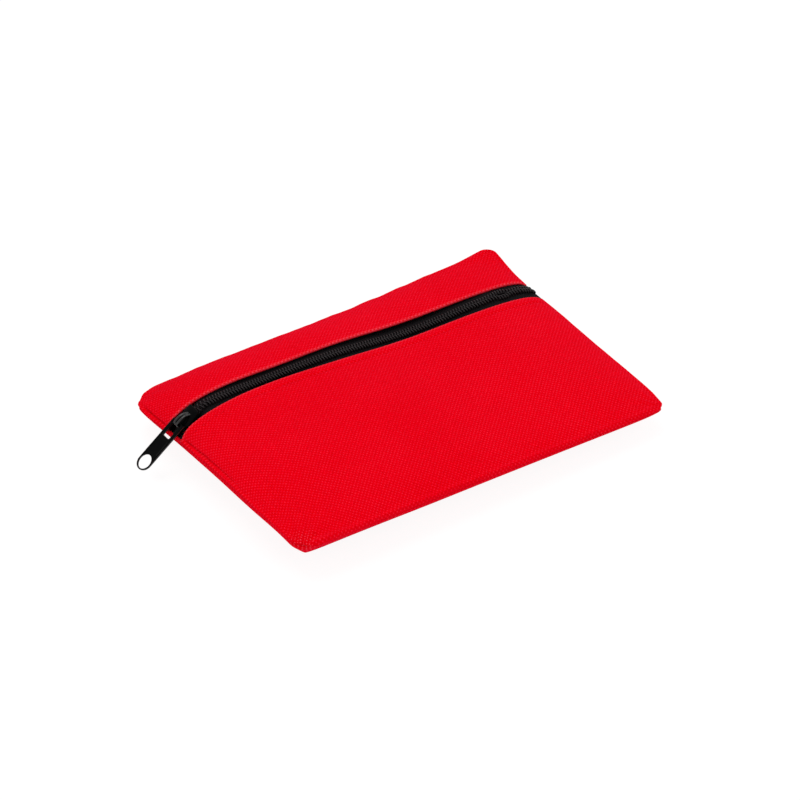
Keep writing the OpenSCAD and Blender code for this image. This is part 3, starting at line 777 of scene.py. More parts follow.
@dataclass
class PouchShape:
    """Outline and height of the pouch, as in the solids it is fitted to, with rounder corners."""

    length: float = 170.0
    width: float = 120.0
    seam_z: float = 13.0
    seam_close: float = 0.02
    cloth_t: float = 0.7
    rim_w: float = 24.0
    # Plan of the seam: drawn in between the corners, cut and rounded at them, and pinched on both sides
    side_draw: float = 1.5
    front_draw: float = 0.3
    corner_cut: float = 1.7
    corner_skew: float = 0.7
    corner_r: float = 4.0
    blunt_cut: float = 1.0
    blunt_r: float = 2.4
    front_r: float = 9.0
    end_power: int = 14
    front_power: int = 20
    right_pinch: Bump = Bump(height=0.9, middle=41.0, width=10.0)
    left_pinch: Bump = Bump(height=0.8, middle=-44.0, width=15.0)
    # Height of the seam: lifts at front left, front right, rear left and rear right, an ear, and both sides
    corner_lifts: Quad = (3.3, -2.0, -0.8, 1.6)
    ear: float = 2.4
    ear_w: float = 11.0
    left_lift: SideLift = SideLift(height=1.3, y=-8.0, width=34.0, towards=-1)
    right_lift: SideLift = SideLift(height=-1.7, y=28.0, width=14.0, towards=1)
    # Line of the zip: a circular arch with a hump over the bandage roll and a hollow beside it
    zip_back: float = 32.0
    zip_r: float = 800.0
    zip_top_x: float = -30.0
    zip_rise: float = 10.6
    hump: Bump = Bump(height=0.7, middle=-56.0, width=17.0)
    hollow: Bump = Bump(height=3.0, middle=22.0, width=28.0)
    # Folds beside the zip: distance from the chain, where they draw back, and height above the chain
    mouth_gap: float = 4.4
    mouth_wider: float = 0.7
    wider_from: float = -43.0
    wider_front: float = -15.0
    wider_rear: float = 10.0
    fold_rise: float = 1.6
    # Curve of the panels from the far seam to the fold, and powers of their drop to the side seams
    front_rise: Pair = (3.2, 0.65)
    rear_rise: Pair = (2.2, 0.7)
    belly: float = 0.06
    end_soft: float = 7.0
    end_firm_left: float = 11.0
    end_firm_right: float = 16.0
    end_firm_front: float = 11.0

    @property
    def half_l(self) -> float:
        """Half of the length over the side seams."""
        return self.length / 2

    @property
    def half_w(self) -> float:
        """Half of the width over the front and back seams."""
        return self.width / 2

    @property
    def zip_y(self) -> float:
        """Y of the chain."""
        return self.half_w - self.zip_back

    def cut(self, u: Array, v: Array) -> Array:
        """How far a corner is cut off: less at the two that lift and at the blunt one, front right."""
        return self.corner_cut - self.corner_skew * np.sign(u * v) - self.blunt_cut * ((u > 0) & (v < 0))

    def edge_x(self, u: Array, v: Array) -> Array:
        """Half length of the seam's outline at v: drawn in between the corners, cut at them, and pinched.

        Args:
            u: place between the side seams, from -1 to 1.
            v: place between front and back, from -1 to 1.

        Returns:
            The half length.
        """
        y = v * self.half_w
        pinch = np.where(u > 0, self.right_pinch.at(y), self.left_pinch.at(y))
        cut = self.cut(u, v) * np.abs(v) ** self.end_power
        return self.half_l - cut - self.side_draw * (1 - v * v) ** 2 - pinch

    def edge_y(self, u: Array, v: Array) -> Array:
        """Half width of the seam's outline at u: drawn in between the corners, less in front, and cut."""
        draw = np.where(v < 0, self.front_draw, self.side_draw)
        return self.half_w - self.cut(u, v) * np.abs(u) ** self.front_power - draw * (1 - u * u) ** 2

    def round_corners(self, x: Array, y: Array) -> tuple[Array, Array]:
        """Plan with its square corners turned into quarter discs.

        Inside a corner's square, p and q run from 0 to 1 towards the two edges; p becomes
        p * sqrt(1 - q * q / 2), and q the same with p.

        Args:
            x: first plan coordinate.
            y: second plan coordinate.

        Returns:
            Both coordinates.
        """
        radius = np.where(y < 0, np.where(x > 0, self.blunt_r, self.front_r), self.corner_r)
        inset = self.cut(x, y) + radius
        p = np.maximum(0.0, np.abs(x) - self.half_l + inset) / radius
        q = np.maximum(0.0, np.abs(y) - self.half_w + inset) / radius
        pull_x = p * (1 - np.sqrt(1 - np.minimum(q, 1.0) ** 2 / 2)) * radius
        pull_y = q * (1 - np.sqrt(1 - np.minimum(p, 1.0) ** 2 / 2)) * radius
        return x - np.sign(x) * pull_x, y - np.sign(y) * pull_y

    def arc_z(self, x: Array) -> Array:
        """Height of the tape on the circular arch of the zip."""
        return self.seam_z + self.zip_rise - self.zip_r + np.sqrt(self.zip_r ** 2 - (x - self.zip_top_x) ** 2)

    def chain_z(self, x: Array) -> Array:
        """Height of the soft chain: the arch, with a hump over the bandage roll and a hollow beside it."""
        return self.arc_z(x) + self.hump.at(x) - self.hollow.at(x)

    def fold_off(self, x: Array, side: Side) -> Array:
        """Distance of a fold from the chain: both folds draw back, the rear one further to the right."""
        full = self.wider_rear if side is Side.REAR else self.wider_front
        return self.mouth_gap + self.mouth_wider * smooth_step(x, self.wider_from, full)

    def twist_z(self, x: Array, y: Array) -> Array:
        """Lift of the seam: a mix of the corners' lifts, an ear at the rear right, and the sides' lifts.

        Args:
            x: first plan coordinate.
            y: second plan coordinate.

        Returns:
            The lift at each point.
        """
        u, v = x / self.half_l, y / self.half_w
        front_left, front_right, rear_left, rear_right = self.corner_lifts
        front = front_left * (1 - u) + front_right * (1 + u)
        rear = rear_left * (1 - u) + rear_right * (1 + u)
        ear = self.ear * np.exp(-((x - self.half_l) ** 2 + (y - self.half_w) ** 2) / self.ear_w ** 2)
        left, right = self.left_lift, self.right_lift
        sides = left.height * left.share(u, y) + right.height * right.share(u, y)
        return (front * (1 - v) + rear * (1 + v)) / 4 + ear + sides

    def rise(self, t: Array, side: Side) -> Array:
        """Share of the fold's height reached at t, from 0 at the far seam to 1 at the fold.

        A power of 1 - (1 - t) ** n; the front half has a belly besides, which is half a sine.

        Args:
            t: share of the way from the far seam.
            side: which half.

        Returns:
            The share at each place.
        """
        power, softer = self.front_rise if side is Side.FRONT else self.rear_rise
        share = (1 - (1 - t) ** power) ** softer
        return share + self.belly * np.sin(np.pi * t) if side is Side.FRONT else share

    def fade(self, u: Array, t: Array, side: Side) -> Array:
        """Drop of the panels to the side seams, firmer beside the zip than at the far seams.

        Args:
            u: place between the side seams, from -1 to 1.
            t: share of the way from the far seam.
            side: which half.

        Returns:
            The share of the height that is left.
        """
        right = self.end_firm_front if side is Side.FRONT else self.end_firm_right
        firm = np.where(u < 0, self.end_firm_left, right)
        power = self.end_soft + (firm - self.end_soft) * t
        return np.sqrt(np.maximum(0.0, 1 - np.abs(u) ** power))

    def panel(self, u: Array, t: Array, side: Side) -> Array:
        """Points of a top panel: straight lines in Y from the seam to the fold, raised by rise times fade.

        Args:
            u: place between the side seams, from -1 to 1.
            t: share of the way from the far seam.
            side: which half.

        Returns:
            The points.
        """
        edge = side.value * self.edge_y(u, side.value)
        y = edge + (self.zip_y + side.value * self.fold_off(u * self.half_l, side) - edge) * t
        x = u * self.edge_x(u, y / self.half_w)
        share = self.rise(t, side) * self.fade(u, t, side)
        x, y = self.round_corners(x, y)
        base = self.seam_z + self.seam_close + self.twist_z(x, y) * (1 - np.clip(share, 0, 1))
        return grid_of(x, y, base + (self.chain_z(x) + self.fold_rise - self.seam_z) * share)

    def seam_loop(self, count: int) -> Array:
        """The seam's outline as a closed loop of points, from the front left corner round.

        Args:
            count: steps along each edge.

        Returns:
            The points in plan.
        """
        s = spread(count)[:-1]
        one = np.ones_like(s)
        u = np.concatenate([s, one, -s, -one])
        v = np.concatenate([-one, s, one, -s])
        y = v * self.edge_y(u, v)
        x = u * self.edge_x(u, y / self.half_w)
        return np.stack(self.round_corners(x, y), -1)


@dataclass
class Ripples:
    """Soft waves of slack cloth: a sum of sines with directions and phases from one seed."""

    seed: int
    waves: int = 9
    shortest: float = 0.7
    longest: float = 1.5

    def height(self, x: Array, y: Array, length: float) -> Array:
        """Height from about -1 to 1 at each place.

        Args:
            x: first coordinate.
            y: second coordinate.
            length: usual length of a wave.

        Returns:
            The sum of the sines, divided by the root of their number.
        """
        draw = np.random.default_rng(self.seed)
        turn = draw.uniform(0, 2 * np.pi, self.waves)
        pace = 2 * np.pi / (length * draw.uniform(self.shortest, self.longest, self.waves))
        phase = draw.uniform(0, 2 * np.pi, self.waves)
        angle = x[..., None] * np.cos(turn) * pace + y[..., None] * np.sin(turn) * pace + phase
        return np.sin(angle).sum(-1) / math.sqrt(self.waves)


@dataclass
class SlackCloth:
    """Slack of the upper cloth: broad waves, puckers along the seam, and creases from the corners."""

    shape: PouchShape
    slack: float = 0.3
    slack_seed: int = 3
    slack_wave: float = 46.0
    slack_in: float = 16.0
    pucker: float = 0.26
    pucker_seed: int = 11
    pucker_wave: float = 8.5
    pucker_reach: float = 4.5
    pucker_start: float = 0.9
    # Puckers are calmer on the right, and gathered at the front left
    calm: float = 0.6
    calm_x: Pair = (40.0, 78.0)
    gather: float = 0.8
    gather_x: Pair = (45.0, 75.0)
    gather_y: Pair = (30.0, 50.0)
    # Creases: side in X, side in Y and strength at each corner
    crease: float = 0.7
    crease_corners: Sequence[tuple[int, int, float]] = (
        (-1, -1, 1.5), (1, -1, 0.5), (-1, 1, 0.55), (1, 1, 0.6))
    crease_in: float = 2.0
    crease_rays: float = 11.0
    crease_turn: float = 2.0
    crease_reach: float = 11.0
    crease_start: float = 3.0
    sewn_w: float = 2.5

    def creases(self, x: Array, y: Array) -> Array:
        """Height of the corners' creases: rays, as a cosine of the angle, that rise and die away outwards.

        Args:
            x: first plan coordinate.
            y: second plan coordinate.

        Returns:
            The height at each point.
        """
        total = np.zeros_like(x)
        for corner_x, corner_y, share in self.crease_corners:
            dx = x - corner_x * (self.shape.half_l - self.crease_in)
            dy = y - corner_y * (self.shape.half_w - self.crease_in)
            far = np.hypot(dx, dy)
            turn = np.arctan2(dy * corner_y, dx * corner_x)
            rays = np.cos(self.crease_rays * turn + self.crease_turn * corner_x)
            fading = decay(far, self.crease_reach) * (1 - decay(far, self.crease_start))
            total = total + self.crease * share * rays * fading
        return total

    def height(self, x: Array, y: Array, reach: Array, side: Side) -> Array:
        """Height of the slack cloth over the drawn panel.

        Args:
            x: first plan coordinate.
            y: second plan coordinate.
            reach: distance from the seam, along the cloth.
            side: which half.

        Returns:
            The height at each point, 0 at the seam.
        """
        broad = self.slack * Ripples(self.slack_seed + side.value).height(x, y, self.slack_wave)
        near = decay(reach, self.pucker_reach) * (1 - decay(reach, self.pucker_start))
        calm = 1 - self.calm * smooth_step(x, *self.calm_x)
        gather = 1 + self.gather * smooth_step(-x, *self.gather_x) * smooth_step(-y, *self.gather_y)
        small = self.pucker * Ripples(self.pucker_seed + side.value).height(x, y, self.pucker_wave)
        total = broad * smooth_step(reach, 0, self.slack_in) + small * calm * gather * near
        return (total + self.creases(x, y)) * smooth_step(reach, 0, self.sewn_w)


@dataclass
class TopPanels:
    """The two panels beside the zip, with rolled seam edges and folded hems, and the front one's stitches."""

    shape: PouchShape
    steps_u: int = 221
    steps_front: int = 161
    steps_rear: int = 71
    hem_w: float = 8.0
    hem_soft: float = 1.0
    hem_end: float = 0.1
    # Swells beside the seams: height, share on the other side, place and width, and distance from corners
    side_swell: float = 1.0
    swell_right: float = 0.4
    side_bell: Pair = (0.9, 0.5)
    front_swell: float = 0.9
    swell_rear: float = 0.3
    front_bell: Pair = (1.6, 0.9)
    swell_clear: Pair = (2.0, 9.0)
    # Crease inside the left seam: depth, place and width, and where it starts in Y, at the fold and in front
    crease: float = 1.1
    crease_bell: Pair = (1.8, 0.45)
    crease_y: Pair = (-24.0, 8.0)
    crease_fold: Pair = (1.0, 4.0)
    crease_front: Pair = (4.0, 14.0)
    # Groove and stitches beside the front fold
    groove: float = 0.65
    groove_x: Pair = (-72.0, -38.0)
    groove_w: float = 0.55
    groove_end: float = 0.06
    stitch_in: float = 4.2
    stitch_pitch: float = 3.1
    stitch_l: float = 2.4
    stitch_end: float = 6.0
    stitch_rise: float = 0.16
    stitch_sink: float = 0.1
    stitch_steps: int = 7
    thread_r: float = 0.13

    def relief(self, grid: Array, u: Array, across: Array, end: Array, side: Side) -> Array:
        """Relief of the sewn cloth: Gaussian swells beside the seams, less the stitches' groove and a crease.

        Args:
            grid: points of the slack panel.
            u: place between the side seams, from -1 to 1.
            across: distance from the far seam.
            end: distance from the nearest side seam.
            side: which half.

        Returns:
            The height at each point.
        """
        to_fold = across[:, -1:] - across
        depth = self.groove * smooth_step(grid[..., 0], *self.groove_x) if side is Side.FRONT else 0.0
        groove = depth * bell(to_fold, self.stitch_in, self.groove_w)
        groove = groove * smooth_step(1 - np.abs(u), 0, self.groove_end)
        beside = np.where(u < 0, self.side_swell, self.swell_right * self.side_swell)
        ahead = self.front_swell if side is Side.FRONT else self.swell_rear * self.front_swell
        swell = np.maximum(beside * bell(end, *self.side_bell) * smooth_step(across, *self.swell_clear),
                           ahead * bell(across, *self.front_bell) * smooth_step(end, *self.swell_clear))
        crease = self.crease * bell(end, *self.crease_bell) * (u < 0)
        crease = crease * smooth_step(grid[..., 1], *self.crease_y)
        crease = crease * smooth_step(to_fold, *self.crease_fold) * smooth_step(across, *self.crease_front)
        return swell - groove - crease

    def panel(self, side: Side, steps: int) -> tuple[Piece, Array]:
        """One top panel as a shell with a rolled seam edge and a folded hem beside the zip.

        The outer face is the panel formula plus the slack and the relief along its normal. The shell's half
        thickness ends in a quarter circle at every edge.

        Args:
            side: which half.
            steps: grid steps from the seam to the fold.

        Returns:
            The piece, and the grid of its outer points.
        """
        u = spread(self.steps_u)[:, None]
        grid = self.shape.panel(u, shares(steps)[None, :], side)
        normal = grid_normals(grid) * -side.value
        along, across = run_length(grid, 0), run_length(grid, 1)
        end = np.minimum(along, along[-1:] - along)
        to_fold = across[:, -1:] - across
        reach = np.minimum(end, across)
        slack = SlackCloth(self.shape).height(grid[..., 0], grid[..., 1], reach, side)
        grid = grid + normal * slack[..., None]
        grid = grid + normal * self.relief(grid, u, across, end, side)[..., None]
        hem = smooth_step(self.hem_w + self.hem_soft - to_fold, 0, self.hem_soft)
        hem = hem * smooth_step(1 - np.abs(u), 0, self.hem_end)
        full = self.shape.cloth_t / 2 * (1 + hem)
        middle = grid - normal * full[..., None]
        flat = np.stack([along - along[self.steps_u // 2][None], to_fold], -1)
        half = full * round_over(border(along, across), full)
        cloth = Surface().add_shell(middle, normal, half, flat, SECOND_FINISH)
        return cloth.build(f"{side.name.lower()}_cloth"), grid

    def stitches(self, grid: Array) -> Piece:
        """Top stitching along the front fold: each stitch is a short tube whose ends dip into the cloth.

        Args:
            grid: outer points of the panel.

        Returns:
            The piece.
        """
        across = run_length(grid, 1)
        to_fold = across[:, -1:] - across
        column = np.argmin(np.abs(to_fold - self.stitch_in), axis=1)
        line = grid[np.arange(len(grid)), column]
        run = run_length(line[:, None], 0)[:, 0]
        starts = np.arange(self.stitch_end, run[-1] - self.stitch_end, self.stitch_pitch)[:, None]
        share = np.linspace(0, 1, self.stitch_steps)[None, :]
        paths = at_run(starts + self.stitch_l * share, run, line)
        paths[..., 2] += self.stitch_rise * np.sin(np.pi * share) - self.stitch_sink
        thread = Surface().add_tubes(paths, UP, (self.thread_r, self.thread_r))
        return thread.build("front_stitches")


@dataclass
class BackPanel:
    """The back panel: flat where it rests, with a full rim that turns up to the seam.

    Lengths called run are shares of the rim's width, from 0 at the seam to 1 at the flat.
    """

    shape: PouchShape
    steps_u: int = 221
    steps_v: int = 131
    # Mitre at the corners: how far the rim reaches in along their diagonals, how wide, and where it starts
    mitre: float = 0.06
    mitre_w: float = 0.12
    mitre_run: Pair = (0.1, 0.6)
    # Over this share of the rim a side's own shape gives way to the next side's
    side_run: float = 0.06
    # Roll of the cloth just below the seam: size, place and width, and less of it towards other places
    roll: float = 0.7
    roll_bell: Pair = (0.05, 0.035)
    roll_less_rear: float = 0.5
    roll_rear_y: Pair = (5.0, 35.0)
    roll_less_front: float = 0.7
    roll_front_y: Pair = (10.0, 45.0)
    roll_right: float = 0.5
    roll_back: float = 0.5
    nip: float = 1.2
    nip_run: float = 0.014
    # Lip that drops off at the seam: height, less towards the front left, more along the left side
    lip: float = 1.8
    lip_run: float = 0.03
    lip_less: float = 0.8
    lip_less_x: Pair = (20.0, 75.0)
    lip_more: float = 0.8
    rim_power: int = 2
    lip_power: int = 5
    # Ripples on the way to the flat
    ripple: float = 0.12
    ripple_seed: int = 21
    ripple_wave: float = 30.0
    ripple_run: Pair = (0.2, 0.6)

    def outer(self) -> Array:
        """Grid of points on the panel's outer face.

        Plan: u and v scale the outline, and just below the seam the plan swells out by a Gaussian roll.
        Height: the seam's height times the square of the share of the way to the flat that is left, less a
        lip that drops off at the seam and runs out as the fifth power of that share.

        Returns:
            The points.
        """
        shape = self.shape
        u = spread(self.steps_u)[:, None]
        v = spread(self.steps_v)[None, :]
        run_u = (1 - np.abs(u)) * shape.half_l / shape.rim_w
        run_v = (1 - np.abs(v)) * shape.half_w / shape.rim_w
        near = np.minimum(run_u, run_v)
        mitre = self.mitre * decay(np.abs(run_u - run_v), self.mitre_w) * smooth_step(near, *self.mitre_run)
        run = np.clip(near - mitre, 0, 1)
        left = 1 - run
        y = v * shape.edge_y(u, v)
        x = u * shape.edge_x(u, y / shape.half_w)
        x, y = shape.round_corners(x, y)
        by_side = decay(np.maximum(run_u - run, 0), self.side_run)
        by_end = decay(np.maximum(run_v - run, 0), self.side_run)
        full_left = 1 - self.roll_less_rear * smooth_step(y, *self.roll_rear_y)
        full_left = full_left - self.roll_less_front * smooth_step(-y, *self.roll_front_y)
        full_side = np.where(u < 0, full_left, self.roll_right)
        full_end = np.where(v < 0, 0.0, self.roll_back)
        bead = bell(run, *self.roll_bell)
        nip = self.nip * decay(run, self.nip_run)
        x = x + np.sign(u) * (self.roll * full_side * bead - nip) * by_side
        y = y + np.sign(v) * (self.roll * full_end * bead - nip) * by_end
        z = (shape.seam_z - shape.seam_close + shape.twist_z(x, y)) * left ** self.rim_power
        less = self.lip_less * by_end * (v < 0) * smooth_step(-x, *self.lip_less_x)
        spare = 1 - less + self.lip_more * by_side * shape.left_lift.share(u, y)
        z = z - self.lip * spare * (1 - decay(run, self.lip_run)) * left ** self.lip_power
        ripple = self.ripple * (1 + Ripples(self.ripple_seed).height(x, y, self.ripple_wave))
        return grid_of(x, y, z + ripple * smooth_step(run, *self.ripple_run) * left)

    def panel(self) -> Piece:
        """The panel as a shell below its outer face, with a quarter circle at every edge.

        Returns:
            The piece.
        """
        grid = self.outer()
        normal = -grid_normals(grid)
        along, across = run_length(grid, 0), run_length(grid, 1)
        full = self.shape.cloth_t / 2
        half = full * round_over(border(along, across), full)
        flat = np.stack([along, across + self.shape.length], -1)
        cloth = Surface().add_shell(grid - normal * full, normal, half, flat, SECOND_FINISH)
        return cloth.build("back_cloth")


@dataclass
class SeamBinding:
    """The binding inside: a rounded strip carried round the seam, over the rim of the back panel."""

    shape: PouchShape
    loop_steps: int = 70
    ring_steps: int = 20
    # Section: powers that square its ellipse off, middle and half width on the rim, middle and half height
    wide_power: float = 0.4
    tall_power: float = 0.7
    rim_share: float = 0.24
    half_share: float = 0.1
    raised: float = 1.75
    half_t: float = 0.5
    flat_r: float = 1.5

    def strip(self) -> Piece:
        """The strip: a squared ellipse set square to the rim's slope, at each point of the seam's loop.

        Returns:
            The piece.
        """
        shape = self.shape
        loop = shape.seam_loop(self.loop_steps)[:, None]
        turn = np.linspace(0, 2 * np.pi, self.ring_steps, endpoint=False)[None, :]
        wide = np.sign(np.cos(turn)) * np.abs(np.cos(turn)) ** self.wide_power
        tall = np.sign(np.sin(turn)) * np.abs(np.sin(turn)) ** self.tall_power
        share = self.rim_share + self.half_share * wide
        raised = self.raised + self.half_t * tall
        halves = np.array([shape.half_l, shape.half_w])
        plan = loop * (1 - share[..., None] * shape.rim_w / halves)
        inward = unit(-loop * shape.rim_w / halves)
        slope = 2 * shape.seam_z * (1 - share) / shape.rim_w
        tilt = unit(grid_of(inward[..., 0] * slope, inward[..., 1] * slope, 1.0))
        height = (shape.seam_z + shape.twist_z(loop[..., 0], loop[..., 1])) * (1 - share) ** 2
        ring = np.concatenate([plan, height[..., None]], -1) + tilt * raised[..., None]
        rows, columns = ring.shape[:2]
        index = np.arange(rows * columns).reshape(rows, columns)
        index = np.concatenate([index, index[:1]])
        strip = Surface()
        strip.add(ring, grid_quads(index, wrap=True), grid_of(run_length(loop, 0), turn * self.flat_r))
        return strip.build("binding_tape")


@dataclass
class PouchCloth:
    """The pouch's cloth: three panels with a coated inner side, the top stitching and the binding.

    The flat sizes, to which the panels are cut, are in metres.
    """

    shape: PouchShape
    mouth: Mouth
    front_flat: Pair = (0.177, 0.103)
    rear_flat: Pair = (0.172, 0.040)
    back_flat: Pair = (0.177, 0.127)

    def build(self) -> None:
        """Builds, dresses and places the panels, the stitches and the binding."""
        tops = TopPanels(self.shape)
        front, front_grid = tops.panel(Side.FRONT, tops.steps_front)
        rear, _ = tops.panel(Side.REAR, tops.steps_rear)
        back = BackPanel(self.shape).panel()
        self.mouth.place(front, Slot.CLOTH, "front_panel")
        place(rear, Body.POUCH, Slot.CLOTH, "rear_panel")
        place(back, Body.POUCH, Slot.CLOTH, "back_panel")
        for piece, flat in ((front, self.front_flat), (rear, self.rear_flat), (back, self.back_flat)):
            dress(piece, CLOTH, COATING)
        stitches = tops.stitches(front_grid)
        dress(stitches, THREAD)
        self.mouth.place(stitches, Slot.CLOTH)
        strip = SeamBinding(self.shape).strip()
        dress(strip, WEBBING)
        place(strip, Body.POUCH, Slot.WEBBING, "seam_binding")


@dataclass
class ZipChain:
    """The two tapes and the two rows of nylon coil, laid along the arch and down to the side seams."""

    shape: PouchShape
    mouth: Mouth
    # Line of the chain: a foot at the left seam, the ramp under the slider, its bend, and the arch
    foot_x: float = -81.9
    foot_l: float = 0.8
    foot_rise: float = 0.3
    start_in: float = 0.7
    start_low: float = 0.2
    ramp_slope: float = 38.0
    bend_x: float = -71.8
    bend_sink: float = 0.05
    bend_before: float = 1.4
    bend_past: Pair = (2.2, 0.75)
    bend_rounds: int = 4
    arch_past: float = 4.5
    end_in: float = 0.1
    drop_past: float = 0.2
    end_power: int = 6
    sunk: float = 0.9
    sunk_x: Quad = (-66.0, -45.0, 36.0, 64.0)
    parked_x: Quad = (58.0, 65.0, 75.0, 79.5)
    arch_steps: int = 900
    line_steps: int = 1600
    # Gaps for the slider's post, shut on the left and opened on the right
    post_gap: float = 1.25
    part_x: float = -77.5
    part_past: float = 1.0
    stop_gap: float = 0.85
    tape_gap: float = 0.42
    stop_x: Quad = (63.6, 66.2, 69.0, 71.4)
    # Tapes: full width under the hems, narrow at the ends, with a little more on the right
    tape_w: float = 11.0
    tape_t: float = 0.5
    tape_droop: float = 0.8
    tape_in: float = 0.06
    narrow_w: float = 4.1
    end_more: float = 1.5
    end_more_x: Pair = (0.0, 40.0)
    end_less: float = 0.9
    end_less_x: Pair = (79.0, 82.5)
    wide_x: float = 68.0
    wide_soft: float = 8.0
    tape_steps: tuple[int, int] = (420, 33)
    # Coils: size of the flattened helix and its filament
    pitch: float = 1.27
    coil_h: float = 1.9
    coil_w: float = 2.1
    coil_clear: float = 0.08
    coil_press: float = 0.05
    coil_past: float = 2.5
    coil_spare: float = 0.5
    reach: float = 0.42
    filament: float = 0.3
    sewn_flat: float = 0.6
    sewn_run: Pair = (-5.5, -0.5)
    turn_steps: int = 12
    filament_sides: int = 7

    def rail(self) -> tuple[Array, Array]:
        """The chain's line in the XZ plane, from the left seam to the right one.

        On the left a straight ramp under the slider, in the middle the soft arch, sunk between the folds, and
        on the right the arch times the panels' drop, firm where the opened slider stops. The corners between
        them are rounded.

        Returns:
            Points X and Z along the line, and the distance along it.
        """
        shape = self.shape
        end_x = float(shape.edge_x(np.array(-1.0), np.array(shape.zip_y / shape.half_w))) - self.end_in
        x = np.linspace(self.bend_x + self.arch_past, end_x, self.arch_steps)
        way = np.clip(x / (end_x + self.drop_past), 0, 1)
        drop = np.where(x > 0, np.sqrt(1 - way ** shape.end_firm_right), 1.0)
        foot = shape.seam_z + self.foot_rise
        low = foot + shape.twist_z(x, shape.zip_y) * np.clip(x / end_x, 0, 1) ** self.end_power
        z = low + (shape.chain_z(x) - self.sunk * band(x, *self.sunk_x) - low) * drop
        arch = np.stack([x, z + (shape.arc_z(x) - z) * band(x, *self.parked_x)], -1)
        foot_x, bend_x = self.foot_x, self.bend_x
        ramp_x = np.array([foot_x, foot_x + self.foot_l, bend_x - self.bend_before, bend_x])
        top = float(shape.arc_z(np.array(bend_x))) - self.bend_sink
        ramp_z = top + (ramp_x - bend_x) * math.tan(math.radians(self.ramp_slope))
        start = [[self.start_in - end_x, foot - self.start_low]]
        past = [[bend_x + self.bend_past[0], top + self.bend_past[1]]]
        corners = np.concatenate([start, np.stack([ramp_x, ramp_z], -1), past, arch[:1]])
        line = np.concatenate([chaikin(corners, self.bend_rounds)[:-1], arch])
        return even_line(line, self.line_steps)

    def on_rail(self, run: Array, across: Array, height: Array) -> Array:
        """Points beside and above the chain's line.

        Args:
            run: distance along the line.
            across: Y from the chain's centre.
            height: distance from the tape's upper face, square to it.

        Returns:
            The points.
        """
        line, even = self.rail()
        spot = at_run(run, even, line)
        tangent = at_run(run, even, unit(np.gradient(line, axis=0)))
        x = spot[..., 0] - tangent[..., 1] * height
        z = spot[..., 1] + tangent[..., 0] * height
        return grid_of(x, self.shape.zip_y + across, z)

    def opening(self, run: Array, gap: float) -> Array:
        """How far a half stands off the centre, where the slider's post parts the chain, shut or open.

        Args:
            run: distance along the line.
            gap: what the post of the opened slider needs on each side.

        Returns:
            The distance from the centre.
        """
        line, even = self.rail()
        x = np.interp(run, even, line[:, 0])
        parted = smooth_step(-x, -self.part_x - self.part_past, -self.foot_x - self.part_past)
        return self.post_gap * parted + gap * band(x, *self.stop_x)

    def tape(self, side: Side) -> Piece:
        """One tape: a strip along the line, wide under the hem and narrow at its ends, with rounded edges.

        Args:
            side: which half.

        Returns:
            The piece.
        """
        line, even = self.rail()
        steps, steps_across = self.tape_steps
        run = np.linspace(0, even[-1], steps)[:, None]
        x = np.interp(run, even, line[:, 0])
        narrow = self.narrow_w + self.end_more * smooth_step(x, *self.end_more_x)
        narrow = narrow - self.end_less * smooth_step(-x, *self.end_less_x)
        wide = narrow + (self.tape_w - narrow) * smooth_step(self.wide_x - np.abs(x), 0, self.wide_soft)
        start = self.tape_in + self.opening(run, self.tape_gap)
        away = start + (wide - start) * shares(steps_across)[None, :]
        sink = self.tape_droop * smooth_step(away, self.narrow_w, self.tape_w) * (wide - self.narrow_w)
        sink = sink / (self.tape_w - self.narrow_w)
        half = self.tape_t / 2
        grid = self.on_rail(run, side.value * away, -half - sink)
        normal = grid_normals(grid) * side.value
        edge = border(run_length(grid, 0), run_length(grid, 1))
        strip = Surface().add_shell(grid, normal, half * round_over(edge, half), grid_of(run, away))
        return strip.build(f"tape_{side.name.lower()}")

    def coil(self, side: Side) -> Piece:
        """One row of coil: a single filament on a flattened helix that leans, meshing with the other row.

        Across: the middle of the row minus a cosine. Height: the middle of the coil plus a sine, pressed flat
        where it is sewn into the right seam. Along: one pitch a turn, half a pitch apart for the two rows.

        Args:
            side: which half.

        Returns:
            The piece.
        """
        line, even = self.rail()
        start = float(np.interp(self.bend_x - self.coil_past, line[:, 0], even))
        offset = 0.5 if side is Side.FRONT else 0.0
        turns = int((even[-1] - start - self.coil_spare) / self.pitch - 0.5)
        angle = np.linspace(0, 2 * np.pi * turns, turns * self.turn_steps + 1)
        run = start + self.pitch * (angle / (2 * np.pi) + offset)
        middle = (self.coil_w - self.reach) / 2
        swing = (self.coil_w + self.reach) / 2 - self.filament
        away = middle - swing * np.cos(angle) + self.opening(run, self.stop_gap)
        tall = self.coil_h / 2 - self.coil_press - self.filament
        height = self.coil_clear + self.coil_h / 2 + tall * np.sin(angle)
        height = height * (1 - self.sewn_flat * smooth_step(run - even[-1], *self.sewn_run))
        path = self.on_rail(run, side.value * away, height)
        row = Surface().add_tubes(path[None], ALONG, (self.filament, self.filament), self.filament_sides)
        return row.build(f"coil_{side.name.lower()}")

    def build(self) -> None:
        """Builds, dresses and places the tapes and the coils."""
        for side in Side:
            name = side.name.lower()
            for piece, finish, slot, node in ((self.tape(side), WEBBING, Slot.WEBBING, f"zip_tape_{name}"),
                                              (self.coil(side), NYLON, Slot.NYLON, f"zip_coil_{name}")):
                dress(piece, finish)
                if side is Side.FRONT:
                    self.mouth.place(piece, slot, node)
                else:
                    place(piece, Body.POUCH, slot, node)


